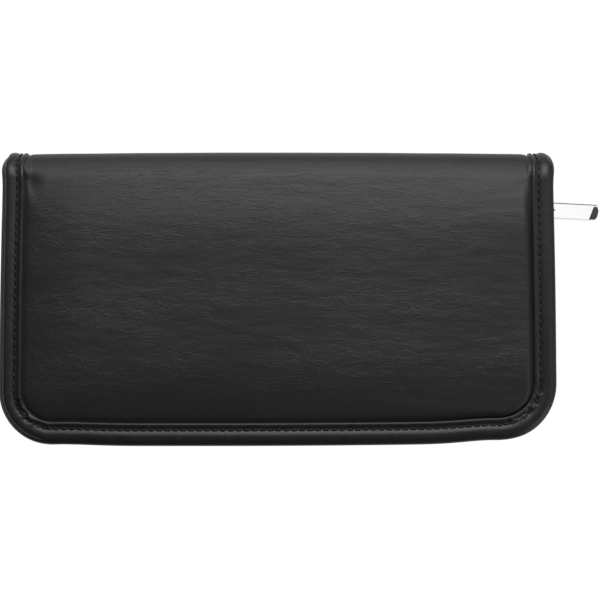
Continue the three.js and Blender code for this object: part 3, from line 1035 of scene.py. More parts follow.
@dataclass(frozen=True)
class Binding:
    """Folded strip of imitation leather sewn round the covers' edge, with a groove and a raised lip."""

    fold: Fold
    step: float = 0.8 * MM
    width: float = 9.7 * MM
    inner_width: float = 9.5 * MM
    top: float = 0.95 * MM
    bottom: float = 6.75 * MM
    skin: float = 0.9 * MM
    round: float = 1.9 * MM
    groove: float = 6.95 * MM
    seam: float = 6.8 * MM
    groove_depth: float = 0.5 * MM
    groove_half: float = 1.1 * MM
    band: float = 3.9 * MM
    band_swell: float = 0.45 * MM
    band_half: float = 1.9 * MM
    lip: float = 8.85 * MM
    lip_swell: float = 0.34 * MM
    lip_half: float = 0.5 * MM
    pitch: float = 3.4 * MM
    pull: float = 0.03 * MM
    pucker: float = 1.2 * MM
    spine_stand: float = 1.3 * MM
    ledge: float = 1.3 * MM
    ledge_start: float = 1.4 * MM
    ledge_end: float = 2.4 * MM
    ledge_elsewhere: float = 0.25
    ledge_share: float = 0.6
    ledge_from: float = 30 * MM
    ledge_to: float = 4 * MM
    fold_from: float = 0.2 * MM
    fold_to: float = 3 * MM
    end_reach: float = 0.8 * MM
    pucker_place: float = 7.4 * MM
    pucker_half: float = 1.3 * MM
    pucker_elsewhere: float = 0.06
    puckers: Wave = Wave(2.6 * MM, 1.6 * MM, 5.5)
    broad_puckers: Wave = Wave(5 * MM, 3 * MM, 2.5, 0.7)
    turn_in: float = 0.6 * MM
    outer_points: int = 20
    inner_points: int = 14
    curl_points: int = 6

    def relief(self, inset: Array, along: Array, corner: Array) -> Array:
        """How far a face stands out from its mean level.

        Args:
            inset: distance in from the edge.
            along: distance along the edge.
            corner: how much of a lower corner this is, 0 to 1.

        Returns:
            The heights.
        """
        band = self.band_swell * hump(inset, self.band, self.band_half)
        lip = self.lip_swell * hump(inset, self.lip, self.lip_half)
        valley = self.groove_depth * hump(inset, self.groove, self.groove_half)
        beat = np.cos(2 * math.pi * along / self.pitch)
        pulled = self.pull * beat * hump(inset, self.groove, 2 * self.groove_half)
        wave = self.puckers.over(along, inset) + self.broad_puckers.over(along, inset)
        near = hump(inset, self.pucker_place, self.pucker_half)
        wrinkle = self.pucker * wave * (self.pucker_elsewhere + corner) * near
        from_fold = smooth_step(inset, self.fold_from, self.fold_to)
        from_end = smooth_step(-inset, -self.width, self.end_reach - self.width)
        return (band + lip - valley + pulled + wrinkle) * from_fold * from_end

    def rim_ledge(self, places: Array, insets: Array, faces: Array) -> Array:
        """A ledge along the outer edge, where the strip is pressed flat. It is deepest on the left.

        Args:
            places: places on the outline.
            insets: insets of the section's points.
            faces: which face each of them belongs to.

        Returns:
            How much deeper each point lies.
        """
        start, end = self.fold.half_length - self.ledge_from, self.fold.half_length - self.ledge_to
        left = smooth_step(-places[:, 0], start, end)
        amount = self.ledge * (self.ledge_elsewhere + (1 - self.ledge_elsewhere) * left)
        near = 1 - smooth_step(insets, self.ledge_start, self.ledge_end)
        share = np.where(faces == 1, 1.0, np.where((faces == 0) & (insets == 0), self.ledge_share, 0.0))
        return amount[:, None] * (near * share)[None]

    def profile(self) -> tuple[Array, Array, Array]:
        """Section of the folded strip, once round.

        Returns:
            Insets, depths, and which face each place belongs to: 1 outer, -1 inner, 0 neither.
        """
        outer = np.linspace(self.width, self.round, self.outer_points)
        inner = np.linspace(self.round, self.inner_width, self.inner_points)
        turn = np.linspace(0, math.pi / 2, self.curl_points)[1:-1]
        curl = self.round * (1 - np.sin(turn))
        drop = self.round * (1 - np.cos(turn))
        low, high = self.bottom - self.skin, self.top + self.skin
        channel = (
            (self.inner_width, low),
            (self.skin + self.turn_in, low),
            (self.skin, low - self.turn_in),
            (self.skin, high + self.turn_in),
            (self.skin + self.turn_in, high),
            (self.width, high),
        )
        parts = (
            (outer, np.full(outer.size, self.top), 1),
            (curl, self.top + drop, 1),
            (np.zeros(1), np.full(1, (self.top + self.bottom) / 2), 0),
            (curl[::-1], self.bottom - drop[::-1], -1),
            (inner, np.full(inner.size, self.bottom), -1),
            (*np.array(channel).T, 0),
        )
        insets = np.concatenate([inset for inset, _, _ in parts])
        depths = np.concatenate([depth for _, depth, _ in parts])
        faces = np.concatenate([np.full(inset.size, face) for inset, _, face in parts])
        return insets, depths, faces

    def stand(self, places: Array, inward: Array) -> Array:
        """How far the strip stands out where it runs over the spine's ends.

        Args:
            places: places on the outline.
            inward: inward headings there.

        Returns:
            The heights.
        """
        return self.spine_stand * hump(places[:, 1], 0, self.fold.arc) * np.abs(inward[:, 0])

    def edge(self) -> Line:
        """The outline, with its length made a whole number of stitches.

        Returns:
            The line.
        """
        line = Line.through(*self.fold.outline(self.step))
        gap = np.linalg.norm(line.places[0] - line.places[-1])
        total = line.along[-1] + gap
        along = line.along * (self.pitch * round(total / self.pitch) / total)
        return Line(line.places, line.inward, along, along[-1] + gap)

    def bend(self, made: Piece) -> None:
        """Bakes a piece's placement into its mesh.

        Args:
            made: the piece.
        """
        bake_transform(made)

    def dress(self) -> Piece:
        """Sweeps the section round the outline.

        Returns:
            The binding.
        """
        line = self.edge()
        insets, depths, faces = self.profile()
        corner = 2 * np.abs(line.inward[:, 0] * line.inward[:, 1])
        wide = (len(line.places), insets.size)
        along = np.broadcast_to(line.along[:, None], wide)
        lifted = self.relief(np.broadcast_to(insets, wide), along, corner[:, None])
        stand = self.stand(line.places, line.inward)[:, None] * (faces == 1)
        depth = depths - faces * lifted - stand + self.rim_ledge(line.places, insets, faces)
        shape = Shape()
        shape.add_grid(self.fold.place(*line.section(insets), depth), wrap_rows=True, wrap_columns=True)
        made = shape.build("folded_binding", SmoothLeather().make())
        self.bend(made)
        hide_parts("front_binding", "back_binding", "spine_binding_left", "spine_binding_right")
        return made


@dataclass(frozen=True)
class Stitching:
    """Thread stitches in the binding's groove, on the outer and the inner face."""

    binding: Binding
    length: float = 2.5 * MM
    radius: float = 0.38 * MM
    sink: float = 0.25 * MM
    dip: tuple[float, ...] = (1.0, 0.15, 0.0, 0.15, 1.0)
    sides: int = 6

    def dress(self) -> Piece:
        """Lays one stitch at each pitch.

        Returns:
            All the stitches as one piece.
        """
        binding = self.binding
        line = binding.edge()
        rise = np.array(self.dip) * self.sink
        share = np.linspace(-0.5, 0.5, rise.size)
        shape = Shape()
        for number in range(round(line.period / binding.pitch)):
            centre, way = line.at((number + 0.5) * binding.pitch + share * self.length)
            at = centre + binding.seam * way
            outer = binding.top + binding.groove_depth - self.radius + rise - binding.stand(centre, way)
            inner = binding.bottom - binding.groove_depth + self.radius - rise
            for depth in (outer, inner):
                shape.add_tube(binding.fold.place(*at.T, depth), self.radius, self.sides)
        made = shape.build("binding_stitches", Finish.THREAD.make())
        binding.bend(made)
        return made


@dataclass(frozen=True)
class Lining:
    """Woven lining sewn in as one piece, over both boards and the spine."""

    fold: Fold
    step: float = 2.0 * MM
    hem: float = 1.2 * MM
    slack: Wave = Wave(30 * MM, 22 * MM, 6.1, 0.12 * MM)
    slack_reach: float = 20 * MM

    def dress(self) -> Piece:
        """Builds the lining.

        Returns:
            The lining.
        """
        low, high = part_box("back_lining")
        fold = self.fold
        x, s = fold.sheet(fold.rows(self.hem, self.step), self.hem, fold.columns(self.step))
        soft = self.slack.over(x, s) * smooth_step(fold.inset(x, s), self.hem, self.slack_reach)
        shape = Shape()
        shape.add_grid(fold.place(x, s, high.z - np.abs(soft)))
        shape.add_grid(fold.place(x, s, np.where(rim_of(x), high.z, low.z)))
        made = shape.build("lining", WovenCloth("lining_cloth").make())
        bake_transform(made)
        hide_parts("front_lining", "back_lining", "spine_lining")
        return made


# The two halves, with the zip and the pockets that ride on them


def settle(made: Piece, body: str, slot: Slot, *nodes: str) -> Piece:
    """Lets a piece ride on a body.

    Args:
        made: the piece.
        body: the body that carries it.
        slot: not used.
        nodes: CAD nodes that it stands for.

    Returns:
        The piece.
    """
    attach(made, body)
    if nodes:
        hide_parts(*nodes)
    return made


@dataclass(frozen=True)
class Half:
    """One half of the wallet, with its body and its side of the fold."""

    name: str
    sign: int

    def node(self, part: str) -> str:
        """Name of the half's CAD node for a part."""
        return f"{self.name}_{part}"

    def settle(self, made: Piece, slot: Slot, *nodes: str) -> Piece:
        """Lets a piece ride on the half."""
        return settle(made, self.node("half"), slot, *nodes)


class Side(Enum):
    """The two halves."""

    BACK = Half("back", -1)
    FRONT = Half("front", 1)


@dataclass(frozen=True)
class Board:
    """Stiffener board of one half, cut to the shape of its cover."""

    fold: Fold
    half: Half
    step: float = 2.0 * MM

    def build(self, card: Material) -> Piece:
        """Builds the board with square edges.

        Args:
            card: its finish.

        Returns:
            The board.
        """
        node = self.half.node("board")
        low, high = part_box(node)
        fold = self.fold
        hem = fold.half_length - high.x
        start = fold.arc + fold.spine_y - high.y
        rows = fold.rows(hem, self.step)
        rows = self.half.sign * np.concatenate(([start], rows[rows > start]))
        x, s = fold.sheet(rows, hem, fold.columns(self.step))
        thick = (high.z - low.z) / 2
        middle = fold.middle - abs((low.z + high.z) / 2 - fold.middle)
        outer, inner = (fold.place(x, s, middle + side * thick) for side in (-1, 1))
        shape = Shape()
        shape.add_grid(np.concatenate((outer, inner[:, ::-1]), axis=1), wrap_columns=True)
        for row in (0, -1):
            shape.add_grid(np.stack((outer[row], inner[row])))
        made = shape.build(self.half.node("stiffener"), card, smooth=False)
        return self.half.settle(made, Slot.BOARD, node)


@dataclass(frozen=True)
class Zip:
    """Zip of one half: tape sewn under the binding, nylon coil, and the cord inside the coil."""

    fold: Fold
    half: Half
    step: float = 1.6 * MM
    wall: float = 10.5 * MM
    sewn_from: float = 1.2 * MM
    sewn_to: float = 5 * MM
    tape_thick: float = 0.5 * MM
    bend: float = 1.1 * MM
    weave: float = 1.0 * MM
    coil_pitch: float = 1.5 * MM
    coil_wire: float = 0.34 * MM
    coil_half_width: float = 1.15 * MM
    coil_tip: float = 12.55 * MM
    coil_root: float = 9.15 * MM
    coil_points: int = 12
    coil_sides: int = 5
    cord_radius: float = 0.45 * MM
    cord_stand: float = 2.2
    cord_sides: int = 6

    def route(self) -> Line:
        """The half's three-sided stretch of the outline, between the ends of its tape.

        Returns:
            The line.
        """
        _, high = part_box(self.half.node("zip_tape"))
        start = self.fold.arc + self.fold.spine_y - high.y
        places, inward = self.fold.outline(self.step)
        keep = places[:, 1] * self.half.sign >= start
        first = int(np.argmax(~keep & np.roll(keep, -1))) + 1
        order = np.arange(first, first + len(places)) % len(places)
        order = order[keep[order]]
        return Line.through(places[order], inward[order])

    def depth_of(self, part: str) -> float:
        """Depth at which a node of the half begins.

        Args:
            part: name of the node in the half.

        Returns:
            The depth of its outermost side.
        """
        low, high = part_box(self.half.node(part))
        return low.z if self.half.sign < 0 else 2 * self.fold.middle - high.z

    def tape(self) -> Piece:
        """Builds the tape: a flat flange, turned up at its inner edge to carry the coil.

        Returns:
            The tape.
        """
        depth, thick = self.depth_of("zip_tape"), self.tape_thick
        turn = np.linspace(0, math.pi / 2, 5)
        insets, depths = [], []
        for wall, level, bend in (
            (self.wall + thick / 2, depth, self.bend + thick),
            (self.wall - thick / 2, depth + thick, self.bend),
        ):
            curl = wall - bend * (1 - np.sin(turn))
            rise = level + bend * (1 - np.cos(turn))
            insets.append(np.concatenate(([self.sewn_from, self.sewn_to], curl, [wall])))
            depths.append(np.concatenate(([level, level], rise, [self.depth_of("zip_teeth")])))
        x, s = self.route().section(np.concatenate((insets[0], insets[1][::-1])))
        shape = Shape()
        around = np.concatenate((depths[0], depths[1][::-1]))
        shape.add_grid(self.fold.place(x, s, around), wrap_columns=True)
        made = shape.build(self.half.node("tape"), WovenCloth("tape_cloth", self.weave).make())
        return self.half.settle(made, Slot.TAPE, self.half.node("zip_tape"))

    def coil(self) -> Piece:
        """Winds the coil along the tape's upper edge, over its cord.

        Returns:
            The coil.
        """
        line = self.route()
        turns = int((line.along[-1] - self.coil_pitch) / self.coil_pitch)
        part = np.arange(turns * self.coil_points) / self.coil_points
        shift = 0.25 if self.half.sign > 0 else 0.75
        centre, way = line.at((part + shift) * self.coil_pitch)
        turn = 2 * math.pi * part
        inset = self.wall + (self.coil_half_width - self.coil_wire) * np.sin(turn)
        middle, swing = (self.coil_tip + self.coil_root) / 2, (self.coil_tip - self.coil_root) / 2
        depth = middle + (swing - self.coil_wire) * np.cos(turn)
        at = centre + inset[:, None] * way
        shape = Shape()
        shape.add_tube(self.fold.place(*at.T, depth), self.coil_wire, self.coil_sides)
        at = line.places + self.wall * line.inward
        depth = self.depth_of("zip_teeth") + self.cord_stand * self.cord_radius
        shape.add_tube(self.fold.place(*at.T, depth), self.cord_radius, self.cord_sides)
        made = shape.build(self.half.node("coil"), Finish.NYLON.make())
        return self.half.settle(made, Slot.TEETH, self.half.node("zip_teeth"))


@dataclass(frozen=True)
class Sewing:
    """Row stitches on flat work: their pitch, the share of it that shows, and the thread."""

    pitch: float
    radius: float
    ends: float
    crown: float
    share: float = 0.72
    sides: int = 5

    def spots(self) -> Array:
        """Places along a stitch's middle line, in pitches from its centre."""
        return self.share * np.array((-0.5, 0.0, 0.5))

    def add(self, shape: Shape, x: Array, y: Array, z: Array, out: int = 1) -> None:
        """Adds one stitch that stands up at its middle.

        Args:
            shape: the shape it goes into.
            x: x of its start, middle and end.
            y: their y.
            z: height of the work under them.
            out: which way is out from the work, 1 or -1.
        """
        lift = out * np.array((self.ends, self.crown, self.ends))
        shape.add_tube(points(x, y, z + lift), self.radius, self.sides)


@dataclass(frozen=True)
class Panel:
    """A pocket's panel standing on the lining, with a turned top hem and a line of stitches."""

    node: str
    half: Half
    thick: float = 0.9 * MM
    swell: float = 0.5 * MM
    swell_reach: float = 18 * MM
    swell_at_foot: float = 0.7
    hem: float = 4.5 * MM
    hem_step: float = 0.5 * MM
    hem_rise: float = 0.25 * MM
    step: float = 2.0 * MM
    notch: float = 0.0
    round: float = 2.5 * MM
    wave: float = 0.12 * MM
    wave_lengths: Span = (26 * MM, 14 * MM)
    wave_reach: float = 9 * MM
    least: float = 0.15 * MM
    seam_stand: float = 0.1 * MM
    least_room: float = 0.05 * MM
    stitch_inset: float = 2.0 * MM
    line_depth: float = 0.25 * MM
    line_half: float = 0.5 * MM
    steepest: float = 0.2 * MM
    sewing: Sewing = Sewing(3.2 * MM, 0.22 * MM, 0.0, 0.14 * MM)

    def level(self) -> tuple[float, float, float]:
        """Heights of the panel's seam and of its face.

        Returns:
            The lining's level, the face's level, and which way is out from the lining.
        """
        low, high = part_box(self.node)
        return (low.z, high.z, 1) if self.half.sign < 0 else (high.z, low.z, -1)

    def edge(self, x: Array) -> Array:
        """The open edge's y along the panel, with its thumb notch.

        Args:
            x: places along the panel.

        Returns:
            The open edge's y.
        """
        low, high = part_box(self.node)
        off = np.abs(x - (low.x + high.x) / 2)
        return high.y - np.sqrt(np.maximum(self.notch**2 - off**2, 0))

    def surface(self, part_x: Array, part_y: Array) -> tuple[Array, Array, Array]:
        """Places on the panel's face.

        Args:
            part_x: 0 at the left edge to 1 at the right edge.
            part_y: 0 at the bottom seam to 1 at the open edge.

        Returns:
            Their x, y and z.
        """
        low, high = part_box(self.node)
        seam, face, out = self.level()
        x = low.x + part_x * (high.x - low.x)
        y = low.y + part_y * (self.edge(x) - low.y)
        from_edge = self.edge(x) - y
        rim = np.minimum(np.minimum(x - low.x, high.x - x), y - low.y)
        body = abs(face - seam) - self.swell
        rise = body * np.sqrt(1 - np.clip(1 - rim / self.round, 0, 1) ** 2)
        fuller = self.swell_at_foot + (1 - self.swell_at_foot) * part_y
        loft = self.swell * smooth_step(rim, self.round, self.swell_reach) * fuller
        own_seed = (low.y + 0.3 * low.x) / MM
        wave = Wave(*self.wave_lengths, own_seed, self.wave).over(x, y)
        wave = wave * smooth_step(rim, 0, self.wave_reach)
        hem = self.hem_rise * smooth_step(-from_edge, -self.hem, self.hem_step - self.hem) - self.hem_rise
        pressed = [hump(off, self.stitch_inset, self.line_half) for off in (from_edge, rim)]
        height = self.least + rise + hem + loft + wave - self.line_depth * np.maximum(*pressed)
        return x, y, seam + out * np.maximum(height, self.least)

    def build(self, material: Material) -> Piece:
        """Builds the panel with its underside.

        Args:
            material: its finish.

        Returns:
            The panel.
        """
        low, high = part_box(self.node)
        seam, _, out = self.level()
        columns = np.linspace(0, 1, int((high.x - low.x) / self.step))
        rows = np.linspace(0, 1, int((high.y - low.y) / self.step))
        closer_at_ends = 0.5 * (rows + 0.5 - 0.5 * np.cos(math.pi * rows))
        part_x, part_y = np.meshgrid(columns, closer_at_ends)
        x, y, z = self.surface(part_x, part_y)
        sewn = (part_x == 0) | (part_x == 1) | (part_y == 0)
        z = np.where(sewn, seam + out * self.seam_stand, z)
        inner = z - out * self.thick
        clear = seam + out * np.maximum(out * (inner - seam), self.least_room)
        under = np.where(sewn, z, np.where(part_y == 1, inner, clear))
        face, back = points(x, y, z), points(x, y, under)
        shape = Shape()
        for grid in (face, back, np.stack((face[-1], back[-1]))):
            shape.add_grid(grid)
        made = shape.build(self.node + "_panel", material)
        return self.half.settle(made, Slot.POCKET, self.node)

    def stitches(self, thread: Material) -> Piece:
        """Sews a line along the side seams, the bottom seam and the hem.

        Args:
            thread: the thread's finish.

        Returns:
            The stitches as one piece.
        """
        low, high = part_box(self.node)
        out = self.level()[2]
        width, height = high.x - low.x, high.y - low.y
        side, foot = self.stitch_inset / width, self.stitch_inset / height
        corners = ((side, 1 - foot), (side, foot), (1 - side, foot), (1 - side, 1 - foot))
        shape = Shape()
        for index, length in enumerate((height, width, height, width)):
            start, end = corners[index], corners[(index + 1) % len(corners)]
            count = int(length / self.sewing.pitch)
            for number in range(count):
                part = (number + 0.5 + self.sewing.spots()) / count
                x, y, z = self.surface(*(first + part * (last - first) for first, last in zip(start, end)))
                if self.notch and abs(y[1] - y[0]) > self.steepest and start[1] == end[1]:
                    continue
                self.sewing.add(shape, x, y, z, out)
        made = shape.build(self.node + "_stitches", thread)
        return self.half.settle(made, Slot.POCKET)


@dataclass(frozen=True)
class PenLoop:
    """Loop of ribbed elastic for a pen, sewn down on a flat foot."""

    half: Half
    band: float = 0.8 * MM
    rib_pitch: float = 1.2 * MM
    rib_height: float = 0.09 * MM
    hem: float = 0.8 * MM
    hem_thinner: float = 0.6
    turns: int = 48
    columns: int = 61
    foot_rows: int = 10
    foot_end: float = 1.0 * MM
    foot_thinner: float = 0.5
    seams: tuple[float, ...] = (1.4 * MM, 3.6 * MM)
    sewing: Sewing = Sewing(2.4 * MM, 0.2 * MM, -0.05 * MM, 0.12 * MM)

    def build(self, material: Material) -> Piece:
        """Builds the loop and its foot.

        Args:
            material: its finish.

        Returns:
            The loop.
        """
        low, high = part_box("pen_loop")
        radius, half = (high.z - low.z) / 2, self.band / 2
        centre_y, centre_z = high.y - radius, low.z + radius
        x = np.linspace(low.x, high.x, self.columns)
        rib = self.rib_height * np.cos(2 * math.pi * x / self.rib_pitch)
        thin = half * (1 - self.hem_thinner * smooth_step(np.abs(x), high.x - self.hem, high.x))
        across = np.concatenate((x, x[::-1]))
        reach = radius - half + np.concatenate((thin + rib, -thin[::-1] - rib[::-1]))
        turn = np.linspace(0, 2 * math.pi, self.turns, endpoint=False)[:, None]
        y, z = centre_y + reach * np.cos(turn), centre_z + reach * np.sin(turn)
        shape = Shape()
        shape.add_grid(points(across, y, z), wrap_rows=True, wrap_columns=True)
        y = np.linspace(low.y, centre_y, self.foot_rows)[:, None]
        lift = half + np.concatenate((thin + rib, -thin[::-1]))
        drop = 1 - self.foot_thinner * smooth_step(-y, -low.y - self.foot_end, -low.y)
        start = len(shape.points)
        shape.add_grid(points(across, y, low.z + lift * drop), wrap_columns=True)
        shape.add_lids(start, across.size)
        made = shape.build("pen_loop_band", material)
        return self.half.settle(made, Slot.LINING, "pen_loop")

    def stitches(self, thread: Material) -> Piece:
        """Sews the foot down with two rows of stitches.

        Args:
            thread: the thread's finish.

        Returns:
            The stitches.
        """
        low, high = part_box("pen_loop")
        shape = Shape()
        pitch = self.sewing.pitch
        for seam in self.seams:
            for x in np.arange(low.x + pitch, high.x - pitch / 2, pitch):
                spots = x + pitch * self.sewing.spots()
                self.sewing.add(shape, spots, low.y + seam, low.z + self.band)
        made = shape.build("pen_loop_stitches", thread)
        return self.half.settle(made, Slot.LINING)


# Metal parts of the zip


@dataclass(frozen=True)
class Plate:
    """A flat solid with a convex outline and rounded edges."""

    outline: Array
    low: float
    high: float
    bevel: float
    steps: int = 5
    support: float = 0.25
    hole_soft: float = 0.7

    def inward(self) -> Array:
        """Finds the way in from the outline's points.

        Returns:
            Their inward headings.
        """
        run = np.roll(self.outline, -1, axis=0) - np.roll(self.outline, 1, axis=0)
        run /= np.linalg.norm(run, axis=1, keepdims=True)
        return np.stack((-run[:, 1], run[:, 0]), axis=-1)

    def rings(self) -> Array:
        """The side's rings of points, with both edges rounded.

        Returns:
            Rows of points, from the underside to the upper side.
        """
        turn = np.linspace(0, math.pi / 2, self.steps)
        cut = self.bevel * np.concatenate(([1 + self.support], 1 - np.sin(turn)))
        rise = self.bevel * np.concatenate(([0], 1 - np.cos(turn)))
        cuts = np.concatenate((cut, cut[::-1]))
        heights = np.concatenate((self.low + rise, self.high - rise[::-1]))
        flat = self.outline[None] + cuts[:, None, None] * self.inward()[None]
        return with_height(flat, heights)

    def bore(self, hole: float) -> Array:
        """The rings of a round hole at the outline's origin, with soft edges.

        Args:
            hole: radius of the hole.

        Returns:
            Rows of points, from the upper side to the underside.
        """
        way = self.outline / np.linalg.norm(self.outline, axis=1, keepdims=True)
        soft = self.hole_soft * self.bevel
        lap = soft + self.support * self.bevel
        wider = np.array((lap, soft, 0, 0, soft, lap))
        heights = np.array((self.high, self.high, self.high - soft, self.low + soft, self.low, self.low))
        return with_height((hole + wider)[:, None, None] * way[None], heights)

    def add_to(self, shape: Shape, place: Matrix, hole: float = 0.0) -> None:
        """Adds the plate to a shape.

        Args:
            shape: the shape it goes into.
            place: turns and moves it.
            hole: radius of a round hole at the outline's origin, or 0.
        """
        rings = self.rings()
        if hole:
            rings = np.concatenate((rings, self.bore(hole)))
        start = len(shape.points)
        shape.add_grid(carried(rings, place), wrap_rows=bool(hole), wrap_columns=True)
        if not hole:
            shape.add_lids(start, len(self.outline))


def with_height(flat: Array, heights: Array) -> Array:
    """Adds one height to each row of flat points."""
    return np.concatenate((flat, np.broadcast_to(heights[:, None, None], (*flat.shape[:2], 1))), axis=-1)


def carried(points: Array, place: Matrix) -> Array:
    """Turns and moves points."""
    return points @ np.array(place.to_3x3()).T + np.array(place.translation)


def rounded(corners: list[Corner], steps: int = 6) -> Array:
    """A convex outline with rounded corners.

    Args:
        corners: x, y and radius of each corner, against the clock.
        steps: points in each corner.

    Returns:
        The outline's points.
    """
    curves = []
    for index, (x, y, radius) in enumerate(corners):
        here = np.array((x, y))
        before = np.array(corners[index - 1][:2]) - here
        after = np.array(corners[(index + 1) % len(corners)][:2]) - here
        before /= np.linalg.norm(before)
        after /= np.linalg.norm(after)
        reach = radius / math.tan(math.acos(float(np.clip(before @ after, -1, 1))) / 2)
        start, end = here + before * reach, here + after * reach
        part = np.linspace(0, 1, steps)[:, None]
        curves.append((1 - part) ** 2 * start + 2 * part * (1 - part) * here + part**2 * end)
    return np.concatenate(curves)


def four_corners(low: Span, high: Span, radius: float) -> list[Corner]:
    """Corners of a rectangle from its lowest to its highest corner, all with one radius."""
    places = ((low[0], low[1]), (high[0], low[1]), (high[0], high[1]), (low[0], high[1]))
    return [(x, y, radius) for x, y in places]


def joint_place(name: str) -> Vector:
    """Where a joint's axis stands, in metres."""
    return next(Vector(joint["pos_m"]) for joint in frame["joints"] if joint["name"] == name)


@dataclass(frozen=True)
class Slider:
    """Metal slider on the zip: two wings with turned edges, the post between them and the crown."""

    fold: Fold
    wing: float = 1.2 * MM
    wing_bevel: float = 0.4 * MM
    channel: float = 1.5 * MM
    nose_round: float = 2.2 * MM
    shoulder_share: float = 0.1
    shoulder_round: float = 4 * MM
    tail_half: float = 2.9 * MM
    tail_round: float = 0.9 * MM
    flange: float = 0.75 * MM
    flange_sink: float = 0.3 * MM
    flange_inset: float = 0.5 * MM
    flange_half: float = 0.45 * MM
    flange_share: float = 0.15
    flange_round: float = 0.3 * MM
    flange_bevel: float = 0.25 * MM
    post_half: float = 1.0 * MM
    post_width: float = 0.9 * MM
    post_round: float = 0.4 * MM
    post_place: float = 1.6 * MM
    post_bevel: float = 0.1 * MM
    crown_span: float = 5.2 * MM
    crown_wire: float = 1.0 * MM
    crown_reach: float = 3.0 * MM
    crown_sink: float = 0.5 * MM
    crown_bend: float = 1.3 * MM

    def build(self, metal: Material) -> Piece:
        """Builds the slider.

        Args:
            metal: its finish.

        Returns:
            The slider.
        """
        low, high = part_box("slider_body")
        centre = Vector((low.x + self.wing + self.channel, (low.y + high.y) / 2, self.fold.middle))
        nose, tail = low.y - centre.y, high.y - centre.y
        wide = (high.z - low.z) / 2
        edge = (
            (nose, wide, self.nose_round),
            (self.shoulder_share * tail, wide, self.shoulder_round),
            (tail, self.tail_half, self.tail_round),
        )
        wing = rounded([(run, -half, radius) for run, half, radius in edge] + [*reversed(edge)])
        upright = Matrix(((0, 0, 1, 0), (1, 0, 0, 0), (0, 1, 0, 0), (0, 0, 0, 1)))
        place = Matrix.Translation(centre) @ upright
        shape = Shape()
        for near in (self.channel, -self.channel - self.wing):
            Plate(wing, near, near + self.wing, self.wing_bevel).add_to(shape, place)
        deep = self.channel + self.flange_sink
        start, end = nose + self.nose_round, self.flange_share * tail
        for side in (-1, 1):
            level = side * (wide - self.flange_inset)
            low_corner, high_corner = (start, level - self.flange_half), (end, level + self.flange_half)
            bar = rounded(four_corners(low_corner, high_corner, self.flange_round), 4)
            for near, far in ((self.flange, deep), (-deep, -self.flange)):
                Plate(bar, near, far, self.flange_bevel, 3).add_to(shape, place)
        # The post's corners lie a metre off, and the clip cuts it to its width with square ends
        post = rounded(four_corners((-self.post_half, -1), (self.post_half, 1), self.post_round))
        post[:, 1] = np.clip(post[:, 1], -self.post_width, self.post_width)
        post[:, 0] += nose + self.post_place
        Plate(post, -self.channel, self.channel, self.post_bevel).add_to(shape, place)
        self.add_crown(shape, centre)
        return settle(shape.build("zip_slider", metal), "slider", Slot.METAL, "slider_body")

    def add_crown(self, shape: Shape, centre: Vector) -> None:
        """Adds the arch on the outer wing that the ring hangs on.

        Args:
            shape: the slider.
            centre: middle of the slider.
        """
        half = self.crown_span / 2 - self.crown_wire / 2
        outer = self.channel + self.wing
        turn = np.linspace(0, math.pi / 2, 7)
        bend = self.crown_bend
        top = outer + self.crown_reach
        rise = np.concatenate(([outer - self.crown_sink], top - bend + bend * np.sin(turn)))
        side = np.concatenate(([half], half - bend + bend * np.cos(turn)))
        rise, side = np.concatenate((rise, rise[::-1])), np.concatenate((side, -side[::-1]))
        shape.add_tube(points(centre.x + rise, centre.y + side, centre.z), self.crown_wire / 2, 10)


